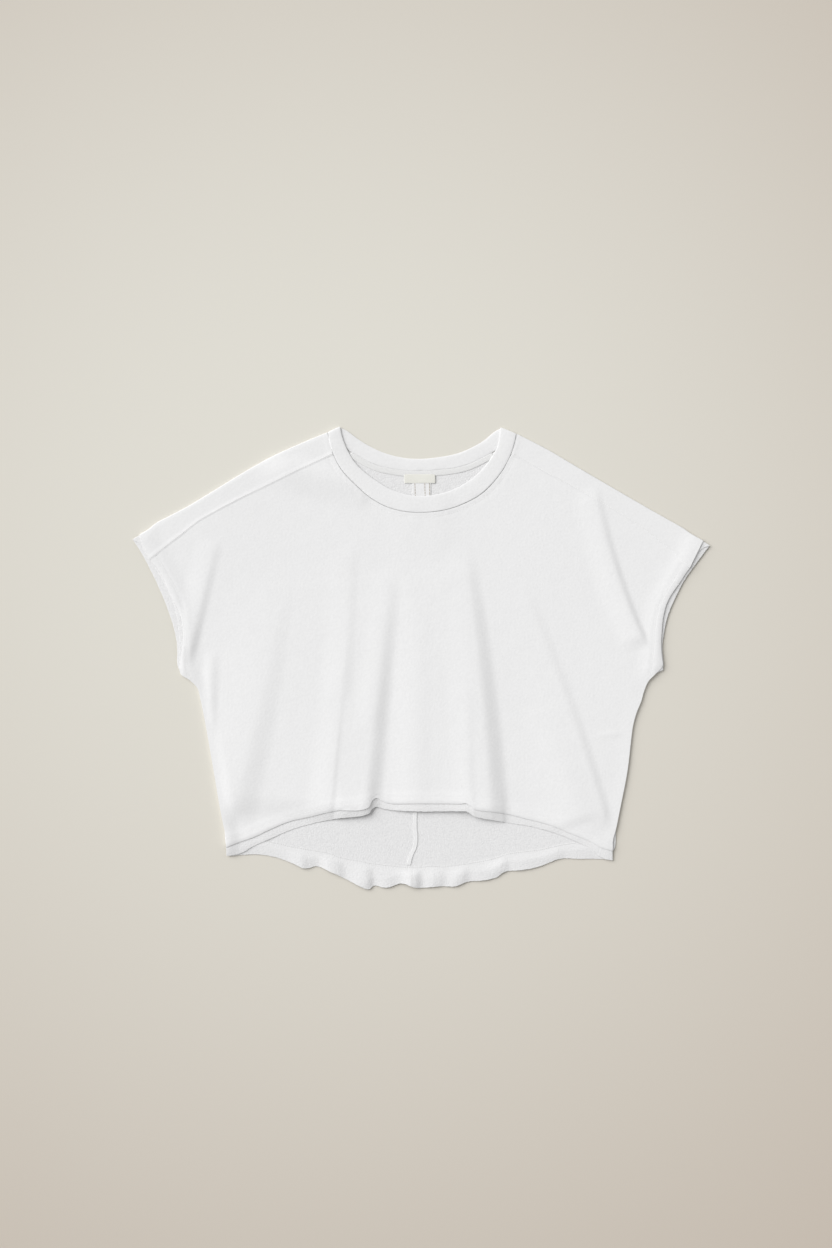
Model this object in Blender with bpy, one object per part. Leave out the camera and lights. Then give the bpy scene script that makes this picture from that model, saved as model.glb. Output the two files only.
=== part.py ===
"""A boxy knit top with cap sleeves and a high-low hem, laid flat with its front up.

Sizes are in millimetres and become metres in closed_mesh(). X runs to the wearer's left, Y to
the neck and Z up. The back lies on the surface at Z 0, and the front lies on the back.
"""

import math
from collections import namedtuple

import bmesh
import bpy
import numpy
from mathutils import Vector
from mathutils.geometry import delaunay_2d_cdt

MM = 0.001
SHELL = 1.4  # thickness of the front and the back
FACING = 1.2  # of the hem and sleeve facings
NECK_BAND = 2.4  # of the doubled neck band
TAPE = 0.9
LABEL = 0.9
ALLOWANCE = 1.0  # of the opened centre-back seam
GAP = 0.3  # between one piece and the next

ON_BACK = SHELL + GAP  # height of what lies on the back
LAYER = FACING + GAP  # how far a facing lifts what covers it
BAND_HEIGHT = ON_BACK + ALLOWANCE + GAP  # underside of the neck band's front
BAND_INSET = (BAND_HEIGHT + NECK_BAND) / 2  # of the neck band's turned layers from its fold
SEAM_DROP = 1.2 * GAP  # the gap at a slanting shoulder seam, along Y
CORNER_GAP = 1.5 * GAP  # between a back and the corner of the neck band
BACK_TUCK = 11.0  # how far the back's raw edge stops short of its facing's
CUFF_TUCK = 2.0  # how far the back's sleeve edge stops short of the front's
TAPE_WIDTH = 8.0
LABEL_SIZE = (42.0, 12.0)
LABEL_CENTRE = (-2.0, 242.0)

UNDERARM_Y = -20.0
SLOPE = 7.0  # length over which the front climbs on a facing
CUFF_MARGIN = 4.0  # how far from the cuff that climb ends
CORNER_SLOPE = 21.0  # length of the climb where the front's corners reach the back's facing
SEAM_REACH = 54.0  # how far from the middle the front starts to climb on the centre-back seam
SEAM_SLOPE = 26.0  # length of that climb
CALM_CUFF = 8.0  # the front's stretch inside each cuff that has no fold
CALM_FADE = 22.0  # length over which the folds then grow, and from the side edges in

# Spans that each curve is divided into.
FRONT_HEM_SPANS = 46
BACK_HEM_SPANS = 84
BACK_SPANS = 60
SLEEVE_SPANS = 16
SIDE_SPANS = 14
SHOULDER_SPANS = 10
NECK_CORNER_SPANS = 3
NECK_FRONT_SPANS = 28
NECK_BACK_SPANS = 24
TAPE_SPANS = 20
ALLOWANCE_SPANS = 40
TURN_STEPS = 4  # flats of a layer that folds right over
FLAP_SPANS = 3  # across the back's flap, from the shoulder fold to the seam

# Spacing of the points inside the front, and how close they may come to others.
FRONT_SIZE = (760.0, 560.0)
FRONT_BOTTOM = -260.0
LATTICE = 21.0
LATTICE_CLEAR = 13.0
FOLD_CLEAR = 8.5
LINE_CLEAR = 3.0
FOLD_ROWS = 15

# The front hem from the wearer's right to the left: the facing's inner edge, the shell's raw
# edge, and the facing's raw edge, which shows past it.
HemStation = namedtuple("HemStation", "x facing shell band")
FRONT_HEM = (
    HemStation(-263, -239, -255, -267),
    HemStation(-245, -235, -248, -264),
    HemStation(-225, -227, -241, -253),
    HemStation(-204, -218, -231, -244),
    HemStation(-177, -209, -220, -232),
    HemStation(-150, -202, -214, -224),
    HemStation(-122, -195, -207, -218),
    HemStation(-96, -191, -203, -214),
    HemStation(-74, -188, -200, -210),
    HemStation(-60, -180, -191, -202),
    HemStation(-42, -184, -196, -205),
    HemStation(0, -184, -196, -207),
    HemStation(56, -184, -197, -207),
    HemStation(72, -190, -204, -214),
    HemStation(110, -198, -209, -221),
    HemStation(147, -206, -218, -227),
    HemStation(174, -213, -225, -234),
    HemStation(201, -223, -236, -244),
    HemStation(228, -233, -247, -257),
    HemStation(242, -241, -255, -269),
    HemStation(258, -249, -260, -273),
)

# The back hem: its facing's inner edge, its wavy raw edge, and how far each wave lifts that edge.
BackStation = namedtuple("BackStation", "x facing band lift")
BACK_HEM = (
    BackStation(-259, -232, -267, 0.0),
    BackStation(-222, -243, -265, 0.0),
    BackStation(-196, -249, -269, 0.3),
    BackStation(-174, -254, -277, 0.9),
    BackStation(-157, -257, -284, 2.0),
    BackStation(-140, -260, -281, 0.4),
    BackStation(-124, -263, -288, 2.2),
    BackStation(-108, -269, -295, 0.5),
    BackStation(-85, -273, -307, 2.6),
    BackStation(-71, -276, -312, 1.6),
    BackStation(-63, -277, -307, 0.4),
    BackStation(-47, -279, -310, 2.4),
    BackStation(-27, -281, -304, 1.4),
    BackStation(-14, -282, -308, 2.6),
    BackStation(-5, -282, -310, 0.3),
    BackStation(14, -280, -309, 2.4),
    BackStation(28, -281, -308, 0.6),
    BackStation(46, -279, -308, 2.2),
    BackStation(62, -277, -302, 0.5),
    BackStation(84, -273, -300, 1.9),
    BackStation(101, -269, -296, 1.2),
    BackStation(114, -264, -288, 0.4),
    BackStation(136, -261, -286, 1.9),
    BackStation(160, -258, -281, 1.2),
    BackStation(187, -252, -271, 0.3),
    BackStation(212, -248, -271, 0.5),
    BackStation(236, -243, -271, 0.0),
    BackStation(256, -238, -272, 0.0),
)

# Sections across each cuff from the shoulder fold down to the underarm fold, with X measured
# from the middle: the facing's inner edge, the front's raw edge, and how far the facing shows
# past that edge on the front and on the back.
SleeveSection = namedtuple("SleeveSection", "facing_x facing_y shell_x shell_y front_peek back_peek")
RIGHT_SLEEVE = (
    SleeveSection(371, 174, 384, 166, 0, 8),
    SleeveSection(360, 151, 372, 144, 1, 6),
    SleeveSection(343, 123, 352, 116, 3, 11),
    SleeveSection(324, 89, 337, 83, 1, 11),
    SleeveSection(316, 62, 325, 59, 5, 14),
    SleeveSection(313, 35, 321, 34, 6, 11),
    SleeveSection(312, 11, 323, 10, 4, 6),
    SleeveSection(312, -10, 325, -8, 2, 5),
    SleeveSection(311, -27, 326, -18, 1, 3),
)
LEFT_SLEEVE = (
    SleeveSection(367, 168, 382, 159, 1, 10),
    SleeveSection(353, 139, 367, 132, 1, 6),
    SleeveSection(338, 112, 351, 106, 1, 4),
    SleeveSection(322, 84, 333, 79, 1, 8),
    SleeveSection(313, 60, 326, 56, 1, 6),
    SleeveSection(310, 38, 324, 36, 1, 4),
    SleeveSection(309, 18, 323, 17, 1, 2),
    SleeveSection(306, -8, 325, -6, 1, 2),
    SleeveSection(305, -26, 326, -17, 1, 2),
)

# Each shoulder from the neck to the sleeve, with X measured from the middle: where the back
# folds over, and where it meets the front. The last three rows are the cuff slope's foot, its
# top and the sleeve's raw edge.
ShoulderStation = namedtuple("ShoulderStation", "fold_x fold_y seam_x seam_y")
RIGHT_SHOULDER = (
    ShoulderStation(127, 305, 119, 274),
    ShoulderStation(181, 282, 168, 251),
    ShoulderStation(226, 259, 213, 229),
    ShoulderStation(261, 238, 248, 212),
    ShoulderStation(312, 207, 298, 185),
    ShoulderStation(340, 192, 326, 163),
    ShoulderStation(360, 181, 343, 150),
    ShoulderStation(368, 176, 352, 143),
    ShoulderStation(381, 168, 366, 132),
)
LEFT_SHOULDER = (
    ShoulderStation(129, 303, 121, 274),
    ShoulderStation(170, 282, 158, 254),
    ShoulderStation(209, 259, 196, 234),
    ShoulderStation(245, 238, 232, 214),
    ShoulderStation(300, 206, 286, 182),
    ShoulderStation(330, 189, 314, 161),
    ShoulderStation(356, 174, 338, 142),
    ShoulderStation(364, 170, 350, 131),
    ShoulderStation(381, 160, 362, 122),
)
CUFF_ROWS = 3

# The sides from the underarm to the hem, as distances from the middle.
SideStation = namedtuple("SideStation", "y right left")
SIDES = (
    SideStation(-20, 325, 317),
    SideStation(-29, 313, 308),
    SideStation(-38, 303, 302),
    SideStation(-54, 298, 298),
    SideStation(-88, 291, 286),
    SideStation(-151, 280, 278),
    SideStation(-198, 272, 269),
    SideStation(-228, 266, 263),
)

# Sections across the neck band from the wearer's right corner to the left one. On the front the
# third row from each end is where the shoulder seam meets the band.
BandSection = namedtuple("BandSection", "outer_x outer_y inner_x inner_y")
NECK_FRONT = (
    BandSection(-127, 305, -110, 313),
    BandSection(-124, 290, -107, 300),
    BandSection(-119, 274, -102, 286),
    BandSection(-109, 255, -93, 269),
    BandSection(-94, 238, -81, 255),
    BandSection(-69, 216, -60, 239),
    BandSection(-42, 202, -37, 226),
    BandSection(-9, 196, -8, 219),
    BandSection(30, 199, 26, 222),
    BandSection(62, 210, 52, 232),
    BandSection(86, 225, 73, 246),
    BandSection(108, 250, 91, 266),
    BandSection(121, 274, 103, 286),
    BandSection(126, 290, 105, 299),
    BandSection(129, 303, 107, 312),
)
SEAM_ROW = 2
NECK_BACK = (
    BandSection(-127, 305, -110, 313),
    BandSection(-112, 290, -97, 305),
    BandSection(-94, 277, -83, 294),
    BandSection(-62, 260, -55, 279),
    BandSection(-29, 253, -27, 271),
    BandSection(-2, 252, -2, 269),
    BandSection(32, 254, 28, 272),
    BandSection(62, 260, 54, 278),
    BandSection(95, 276, 82, 292),
    BandSection(114, 290, 95, 303),
    BandSection(129, 303, 107, 312),
)

# The centre-back seam from the tape to the hem facing, and how wide its allowances lie.
SeamStation = namedtuple("SeamStation", "y x right_width left_width")
CENTRE_BACK = (
    SeamStation(243, 3, 14, 9),
    SeamStation(215, 3, 14, 9),
    SeamStation(150, 2, 10, 7),
    SeamStation(50, 0, 6, 5),
    SeamStation(-80, -2, 4, 3),
    SeamStation(-208, -4, 3, 3),
    SeamStation(-230, -4, 3, 3),
    SeamStation(-243, -2, 3, 3),
    SeamStation(-255, -4, 3, 3),
    SeamStation(-266, -11, 3, 3),
    SeamStation(-279, -16, 3, 3),
)
CENTRE_BACK_TOP = (3.0, 252.0)
CENTRE_BACK_END = (-19.0, -320.0)

# The front's largest folds. Each crest climbs from the wearer's right over one width, drops to
# the left over a shorter one, and grows from its top to its foot.
Fold = namedtuple("Fold", "top_x top_y foot_x foot_y height rise fall")
FOLDS = (
    Fold(-283, 160, -312, 0, 2.2, 24, 22),
    Fold(-190, 110, -252, -215, 1.8, 44, 34),
    Fold(-120, 120, -128, -205, 1.4, 40, 16),
    Fold(-50, 130, -84, -200, 3.2, 46, 28),
    Fold(-14, 60, -30, -200, 1.5, 40, 44),
    Fold(52, 150, 76, -200, 3.2, 52, 34),
    Fold(130, 130, 238, -222, 2.6, 62, 32),
    Fold(228, 225, 268, 80, 1.8, 34, 24),
)
FOLD_ENDS = 0.5  # a fold's width at its top, of that at its foot
FOLD_GROWTH = 0.62  # the share of a fold's length over which it reaches its height
LOFT = 0.5  # how far the cloth stands off the layer below where it has no fold
LOFT_WAVES = (39.0, 53.0)  # the loft's wave lengths along X and Y, over a full turn


def smooth(t):
    """0 below 0, 1 above 1, and a soft step between."""
    t = min(max(t, 0.0), 1.0)
    return t * t * (3.0 - 2.0 * t)


def between(rows, count):
    """Count + 1 rows, evenly spread on a smooth curve through every column of these rows."""
    table = numpy.array(rows, float)
    padded = numpy.vstack((2 * table[0] - table[1], table, 2 * table[-1] - table[-2]))
    lengths = numpy.linalg.norm(numpy.diff(table[:, :2], axis=0), axis=1)
    along = numpy.concatenate(([0.0], numpy.cumsum(lengths)))
    found = []
    for place in numpy.linspace(0.0, along[-1], count + 1):
        span = min(int(numpy.searchsorted(along, place, side="right")) - 1, len(lengths) - 1)
        t = (place - along[span]) / lengths[span]
        before, start, end, after = padded[span : span + 4]
        linear = 0.5 * t * (end - before)
        square = 0.5 * t**2 * (2 * before - 5 * start + 4 * end - after)
        cube = 0.5 * t**3 * (3 * start - before - 3 * end + after)
        found.append(start + linear + square + cube)
    return numpy.array(found)


def column(rows, name, place, by):
    """The named column where the column `by` has the given value."""
    table = sorted((getattr(row, by), getattr(row, name)) for row in rows)
    return float(numpy.interp(place, [row[0] for row in table], [row[1] for row in table]))


def sleeve_of(x):
    return RIGHT_SLEEVE if x < 0 else LEFT_SLEEVE


def from_cuff(x, y):
    """How far a point lies inside the cuff's inner edge."""
    return column(sleeve_of(x), "facing_x", y, "facing_y") - abs(x)


def from_side(x, y):
    """How far a point lies inside the side edge."""
    return column(SIDES, "right" if x < 0 else "left", y, "y") - abs(x)


def fold_lift(x, y):
    """How far the folds lift the front at one point."""
    lift = 0.0
    for fold in FOLDS:
        down = (fold.top_y - y) / (fold.top_y - fold.foot_y)
        away = x - fold.top_x - (fold.foot_x - fold.top_x) * down
        width = fold.fall if away > 0 else fold.rise
        width *= FOLD_ENDS + (1.0 - FOLD_ENDS) * min(max(down, 0.0), 1.0)
        rise = fold.height * smooth(down / FOLD_GROWTH) * (1.0 - smooth(abs(away) / width))
        lift = math.hypot(lift, rise)
    return lift


def front_height(x, y):
    """Height of the front's underside."""
    on_cuff = smooth((CUFF_MARGIN + SLOPE - from_cuff(x, y)) / SLOPE)
    on_facing = smooth((column(FRONT_HEM, "facing", x, "x") + SLOPE - y) / SLOPE)
    above_back_facing = y - column(BACK_HEM, "facing", x, "x")
    on_back_facing = smooth(2.5 - above_back_facing / CORNER_SLOPE)
    on_seam = smooth((SEAM_REACH - abs(x)) / SEAM_SLOPE)
    layers = 2 * LAYER * on_cuff + LAYER * (on_facing + on_back_facing)
    loft = LOFT * (0.5 + 0.5 * math.sin(x / LOFT_WAVES[0]) * math.cos(y / LOFT_WAVES[1]))
    from_calm = from_cuff(x, y) - CALM_CUFF if y > UNDERARM_Y else from_side(x, y)
    folds = fold_lift(x, y) * smooth(from_calm / CALM_FADE)
    return ON_BACK + layers + (ALLOWANCE + GAP) * on_seam + loft + folds


def cotton(name, colour, roughness):
    """A plain cloth finish."""
    made = bpy.data.materials.new(name)
    made.use_nodes = True
    shader = made.node_tree.nodes["Principled BSDF"]
    shader.inputs["Base Color"].default_value = colour
    shader.inputs["Roughness"].default_value = roughness
    shader.inputs["Metallic"].default_value = 0.0
    made.diffuse_color = colour
    return made


def closed_mesh(name, points, faces, finish):
    mesh = bpy.data.meshes.new(name)
    mesh.from_pydata([Vector(p) * MM for p in points], [], faces)
    shape = bmesh.new()
    shape.from_mesh(mesh)
    bmesh.ops.recalc_face_normals(shape, faces=shape.faces)
    shape.to_mesh(mesh)
    shape.free()
    mesh.shade_smooth()
    mesh.set_sharp_from_angle(angle=math.radians(40))
    mesh.materials.append(finish)
    made = bpy.data.objects.new(name, mesh)
    bpy.context.scene.collection.objects.link(made)
    return made


def wall(name, middles, outs, faces, thickness, finish):
    """A cloth wall: its faces on both sides of the given middle, and a rim round every edge."""
    places = {}
    index = [places.setdefault(tuple(round(c, 4) for c in m), i) for i, m in enumerate(middles)]
    used = sorted(set(index))
    short = {i: n for n, i in enumerate(used)}
    faces = [[short[index[i]] for i in face] for face in faces]
    middle = [Vector(middles[i]) for i in used]
    half = [Vector(outs[i]) * thickness / 2 for i in used]
    count = len(used)
    points = [m + h for m, h in zip(middle, half)] + [m - h for m, h in zip(middle, half)]
    edges = {}
    for face in faces:
        for start, end in zip(face, face[1:] + face[:1]):
            edges.setdefault(frozenset((start, end)), []).append((start, end))
    walls = faces + [[i + count for i in reversed(face)] for face in faces]
    for owners in edges.values():
        if len(owners) == 1:
            start, end = owners[0]
            walls.append([end, start, start + count, end + count])
    return closed_mesh(name, points, walls, finish)


def upward(points):
    return [(0.0, 0.0, 1.0)] * len(points)


def grid_faces(rows, columns):
    """Triangles of a grid of points stored row by row."""
    faces = []
    for a in range(rows * columns - columns):
        if a % columns < columns - 1:
            b = a + columns
            faces += [[a, b, b + 1], [a, b + 1, a + 1]]
    return faces


def triangulate(outline, lines, inner):
    """Points and triangles inside an outline that keep to these lines and inner points."""
    points = [Vector(p) for p in outline]
    edges = []
    for line in lines:
        first = len(points)
        points += [Vector(p) for p in line]
        edges += [(i, i + 1) for i in range(first, len(points) - 1)]
    points += [Vector(p) for p in inner]
    made = delaunay_2d_cdt(points, edges, [list(range(len(outline)))], 1, 1e-4)
    return [tuple(p) for p in made[0]], [list(face) for face in made[2]]


def inside(point, outline):
    x, y = point
    found = False
    for (ax, ay), (bx, by) in zip(outline, outline[1:] + outline[:1]):
        if (ay > y) != (by > y) and x < ax + (bx - ax) * (y - ay) / (by - ay):
            found = not found
    return found


def well_inside(points, outline, others, clear):
    """The points that lie inside the outline and clear of it, of the others and of each other."""
    taken = [Vector(p) for p in outline] + [Vector(p) for p in others]
    kept = []
    for point in points:
        place = Vector(point)
        if inside(point, outline) and min((place - other).length for other in taken) > clear:
            taken.append(place)
            kept.append(tuple(point))
    return kept


def moved_out(inner, outer, distance):
    """The outer point pushed away from the inner one."""
    away = (Vector(outer) - Vector(inner)).normalized()
    return tuple(Vector(outer) + away * distance)


def ribbon(name, sections, thickness, finish, closed):
    """A band swept through sections, each an outer point, an inner point and its way up."""
    profile = ((0.0, 0.0), (0.05, 1.0), (0.5, 1.0), (0.95, 1.0))
    profile += ((1.0, 0.0), (0.95, -1.0), (0.5, -1.0), (0.05, -1.0))
    points = []
    for outer, inner, up in sections:
        for across, height in profile:
            place = Vector(outer).lerp(Vector(inner), across)
            points.append(place + Vector(up) * height * thickness / 2)
    count = len(sections)
    size = len(profile)
    faces = []
    for row in range(count if closed else count - 1):
        following = (row + 1) % count
        for place in range(size):
            beside = (place + 1) % size
            low = row * size
            high = following * size
            faces.append([low + place, high + place, high + beside, low + beside])
    if not closed:
        faces.append(list(range(size)))
        faces.append(list(range(size * count - size, size * count)))
    return closed_mesh(name, points, faces, finish)


def turn(outer, inner, away, inset, low, high):
    """Sections of a band that folds over a line, from its low layer round to its high one."""
    sections = []
    radius = (high - low) / 2
    for step in range(TURN_STEPS + 1):
        angle = math.pi * (step / TURN_STEPS - 0.5)
        reach = radius * math.cos(angle) - inset
        height = low + radius + radius * math.sin(angle)
        shift = Vector((away[0] * reach, away[1] * reach, height))
        # The way up turns with the band, so the same side stays outside all round.
        up = (away[0] * math.cos(angle), away[1] * math.cos(angle), math.sin(angle))
        sections.append((Vector((*outer, 0.0)) + shift, Vector((*inner, 0.0)) + shift, up))
    return sections


def across(outer, inner, toward):
    """Unit vector square to a fold line, on the side away from the given point."""
    line = (Vector(outer) - Vector(inner)).normalized()
    square = Vector((-line.y, line.x))
    return square if square.dot(Vector(toward) - Vector(inner)) < 0 else -square


def neck_sections():
    """The neck band's front sections, with one exactly at each shoulder seam, and the back's."""
    first = between(NECK_FRONT[: SEAM_ROW + 1], NECK_CORNER_SPANS)
    middle = between(NECK_FRONT[SEAM_ROW : -SEAM_ROW], NECK_FRONT_SPANS)
    last = between(NECK_FRONT[-SEAM_ROW - 1 :], NECK_CORNER_SPANS)
    return numpy.vstack((first, middle[1:-1], last)), between(NECK_BACK, NECK_BACK_SPANS)


neck_front, neck_back = neck_sections()


def beside_neck(sections):
    """Where a shell stops beside the neck band."""
    return [moved_out(s[2:4], s[0:2], GAP) for s in sections]


def neck_corner(side):
    """Outer and inner points of the fold at one corner of the neck band, and its way out."""
    rows = neck_front if side < 0 else neck_front[::-1]
    outer, inner = tuple(rows[0][0:2]), tuple(rows[0][2:4])
    return outer, inner, across(outer, inner, tuple(rows[2][0:2]))


def shoulder_rows(side):
    """Rows of a fold point and a seam point from the neck to the sleeve's raw edge."""
    rows = RIGHT_SHOULDER if side < 0 else LEFT_SHOULDER
    curved = between(rows[: 1 - CUFF_ROWS], SHOULDER_SPANS)
    stations = numpy.vstack((curved, rows[1 - CUFF_ROWS :]))
    pairs = [[(side * s[0], s[1]), (side * s[2], s[3])] for s in stations]
    edge = beside_neck(neck_front if side < 0 else neck_front[::-1])
    pairs[0] = [edge[0], edge[NECK_CORNER_SPANS]]
    return pairs


def sleeve_edge(side, name):
    """A line along a sleeve opening: the facing, the front's or back's raw edge, or a cuff's."""
    rows = between(RIGHT_SLEEVE if side < 0 else LEFT_SLEEVE, SLEEVE_SPANS)
    found = []
    for facing_x, facing_y, shell_x, shell_y, front_peek, back_peek in rows:
        out = {"shell": 0.0, "front": front_peek, "back": back_peek, "back_shell": -CUFF_TUCK}
        x, y = facing_x, facing_y
        if name in out:
            x, y = moved_out((facing_x, facing_y), (shell_x, shell_y), out[name])
        found.append((side * x, y))
    return found


def sleeve_opening(side, name, shoulder_y):
    """A raw sleeve edge from just below the shoulder to just above the underarm."""
    return [p for p in sleeve_edge(side, name) if UNDERARM_Y + 4.0 < p[1] < shoulder_y - 6.0]


def side_edge(side):
    rows = [(row.y, row.right if side < 0 else row.left) for row in SIDES]
    return [(side * station[1], station[0]) for station in between(rows, SIDE_SPANS)]


def front_outline(facing_line):
    """The front's edge, down to where it starts to lie on its hem facing."""
    edges = []
    for side in (-1, 1):
        seam = [(x, y - SEAM_DROP) for _, (x, y) in shoulder_rows(side)][1:]
        edges.append(seam + sleeve_opening(side, "shell", seam[-1][1]) + side_edge(side))
    neckline = beside_neck(neck_front[NECK_CORNER_SPANS:-NECK_CORNER_SPANS])
    return edges[0] + facing_line + edges[1][::-1] + neckline[::-1]


def fold_points():
    """Points along each fold: on its crest, on both slopes and at the foot of the steep one."""
    found = []
    for fold in FOLDS:
        for row in range(1, FOLD_ROWS + 1):
            down = row / FOLD_ROWS
            y = fold.top_y + (fold.foot_y - fold.top_y) * down
            crest = fold.top_x + (fold.foot_x - fold.top_x) * down
            width = FOLD_ENDS + (1.0 - FOLD_ENDS) * down
            for away in (0.0, fold.fall / 2, fold.fall, -fold.rise / 2):
                found.append((crest + away * width, y))
    return found


def lattice_points():
    """Points spread evenly over the whole front."""
    wide, tall = FRONT_SIZE
    row_height = LATTICE * math.sqrt(3) / 2
    found = []
    for row in range(int(tall / row_height)):
        for place in range(int(wide / LATTICE)):
            x = (place + 0.5 * (row % 2)) * LATTICE - wide / 2
            found.append((x, FRONT_BOTTOM + row * row_height))
    return found


def make_front():
    """The front shell down to its raw edges, with its hem facing made from the same points."""
    hem = between(FRONT_HEM, FRONT_HEM_SPANS)
    facing_line = [(s[0], s[1]) for s in hem]
    outline = front_outline(facing_line)
    slope = [(x, y + SLOPE) for x, y in facing_line[1:-1]]
    lines = [well_inside(slope, outline, [], LINE_CLEAR)]
    for side in (-1, 1):
        for shift in (CUFF_MARGIN, CUFF_MARGIN + SLOPE):
            beside = [(x - side * shift, y) for x, y in sleeve_edge(side, "facing")]
            lines.append(well_inside(beside, outline, [], LINE_CLEAR))
    kept = [point for line in lines for point in line]
    folds = well_inside(fold_points(), outline, kept, FOLD_CLEAR)
    spread = well_inside(lattice_points(), outline, kept + folds, LATTICE_CLEAR)
    flat, faces = triangulate(outline, lines, folds + spread)

    # The strip that lies on the facing follows the hem's own stations.
    strip = [tuple(Vector((s[0], s[1] + (s[2] - s[1]) * t))) for s in hem for t in (0.0, 0.5, 1.0)]
    first = len(flat)
    faces += [[i + first for i in face] for face in grid_faces(len(hem), 3)]
    middles = [(x, y, front_height(x, y) + SHELL / 2) for x, y in flat + strip]
    jersey = cotton("front_jersey", (0.83, 0.83, 0.82, 1.0), 0.92)
    wall("front_panel", middles, upward(middles), faces, SHELL, jersey)

    plan = []
    for s in hem:
        plan += [(s[0], s[1] + (s[2] - s[1]) * t) for t in (0.0, 0.5, 1.0)]
        plan.append((s[0], s[3]))
    down = GAP + FACING / 2
    middles = [(x, y, front_height(x, y) - down) for x, y in plan]
    terry = cotton("front_terry", (0.80, 0.80, 0.79, 1.0), 0.97)
    wall("front_hem_band", middles, upward(middles), grid_faces(len(hem), 4), FACING, terry)


def centre_back(y):
    """X of the centre-back seam at one height."""
    rows = [CENTRE_BACK_TOP[::-1]] + [(s.y, s.x) for s in CENTRE_BACK] + [CENTRE_BACK_END[::-1]]
    rows.sort()
    return float(numpy.interp(y, [row[0] for row in rows], [row[1] for row in rows]))


# The back folds over at the shoulder: where it leaves the surface, the way out, its radius, and
# the seam where the flap ends.
Bend = namedtuple("Bend", "base away radius seam")


def shoulder_bends(side):
    pairs = shoulder_rows(side)
    bends = []
    for place, (fold, seam) in enumerate(pairs):
        ahead = pairs[min(place + 1, len(pairs) - 1)][0]
        behind = pairs[max(place - 1, 0)][0]
        away = across(ahead, behind, seam)
        radius = front_height(*(Vector(fold) - away * 3.0)) / 2
        bends.append(Bend(Vector(fold) - away * (radius + SHELL / 2), away, radius, Vector(seam)))
    return bends


def back_outline(side, bends):
    """The edge of a back's flat layer, from the middle of the neck round to the middle again."""
    half = [s for s in neck_back if side * (s[0] - CENTRE_BACK_TOP[0]) > 4.0]
    outline = beside_neck(half if side > 0 else half[::-1])[:-1]
    outer, inner, out = neck_corner(side)
    outline.append(tuple(Vector(moved_out(inner, outer, CORNER_GAP)) - out * BAND_INSET))
    outline += [tuple(bend.base) for bend in bends]
    outline += sleeve_opening(side, "back_shell", outline[-1][1]) + side_edge(side)

    end_y = column(BACK_HEM, "band", CENTRE_BACK_END[0], "x") + BACK_TUCK
    hem = [(s[0], s[2] + BACK_TUCK) for s in between(BACK_HEM, BACK_SPANS)]
    hem = [p for p in hem if side * (p[0] - centre_back(p[1])) > 3.0]
    outline += hem if side < 0 else hem[::-1]
    heights = [end_y] + [y for y in range(-270, 241, 30) if y > end_y + 6.0]
    outline += [(centre_back(y) + side * GAP / 2, y) for y in heights]
    outline.append((CENTRE_BACK_TOP[0] + side * GAP / 2, CENTRE_BACK_TOP[1] - GAP))
    return outline


def make_back(name, side, finish):
    """One back half: flat on the surface, then over the shoulder fold to the front."""
    bends = shoulder_bends(side)
    flat, faces = triangulate(back_outline(side, bends), [], [])
    middles = [(x, y, SHELL / 2) for x, y in flat]
    outs = [(0.0, 0.0, -1.0)] * len(flat)
    beside_band = beside_neck(neck_front if side < 0 else neck_front[::-1])
    for place, (base, away, radius, seam) in enumerate(bends):
        for step in range(TURN_STEPS + 1):
            angle = math.pi * (step / TURN_STEPS - 0.5)
            x, y = base + away * radius * math.cos(angle)
            middles.append((x, y, SHELL / 2 + radius + radius * math.sin(angle)))
            outs.append((away.x * math.cos(angle), away.y * math.cos(angle), math.sin(angle)))
        for step in range(1, FLAP_SPANS + 1):
            # The first row of the flap runs along the neck band.
            x, y = beside_band[step] if place == 0 else base.lerp(seam, step / FLAP_SPANS)
            middles.append((x, y, front_height(x, y) + SHELL / 2))
            outs.append((0.0, 0.0, 1.0))
    wrapped = grid_faces(len(bends), TURN_STEPS + 1 + FLAP_SPANS)
    faces += [[i + len(flat) for i in face] for face in wrapped]
    wall(name, middles, outs, faces, SHELL, finish)


def make_backs():
    jersey = cotton("back_terry", (0.79, 0.79, 0.78, 1.0), 0.95)
    make_back("back_right", -1, jersey)
    make_back("back_left", 1, jersey)


def make_back_facing():
    """The back hem's facing, whose raw edge waves past the back's own."""
    terry = cotton("back_facing_terry", (0.80, 0.80, 0.79, 1.0), 0.97)
    stations = between(BACK_HEM, BACK_HEM_SPANS)
    on_surface = 0.1 + FACING / 2
    on_shell = ON_BACK + FACING / 2
    middles = []
    for x, facing, band, lift in stations:
        lift = max(lift, 0.0)
        shell = band + BACK_TUCK + 1.5
        middles.append((x, facing, on_shell))
        middles.append((x, (facing + shell) / 2, on_shell + 0.25 * lift))
        middles.append((x, shell, on_shell + 0.6 * lift))
        middles.append((x, band + BACK_TUCK / 2, (on_surface + on_shell) / 2 + 0.8 * lift))
        middles.append((x, band, on_surface + lift))
    wall("back_hem_band", middles, upward(middles), grid_faces(len(stations), 5), FACING, terry)


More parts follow.
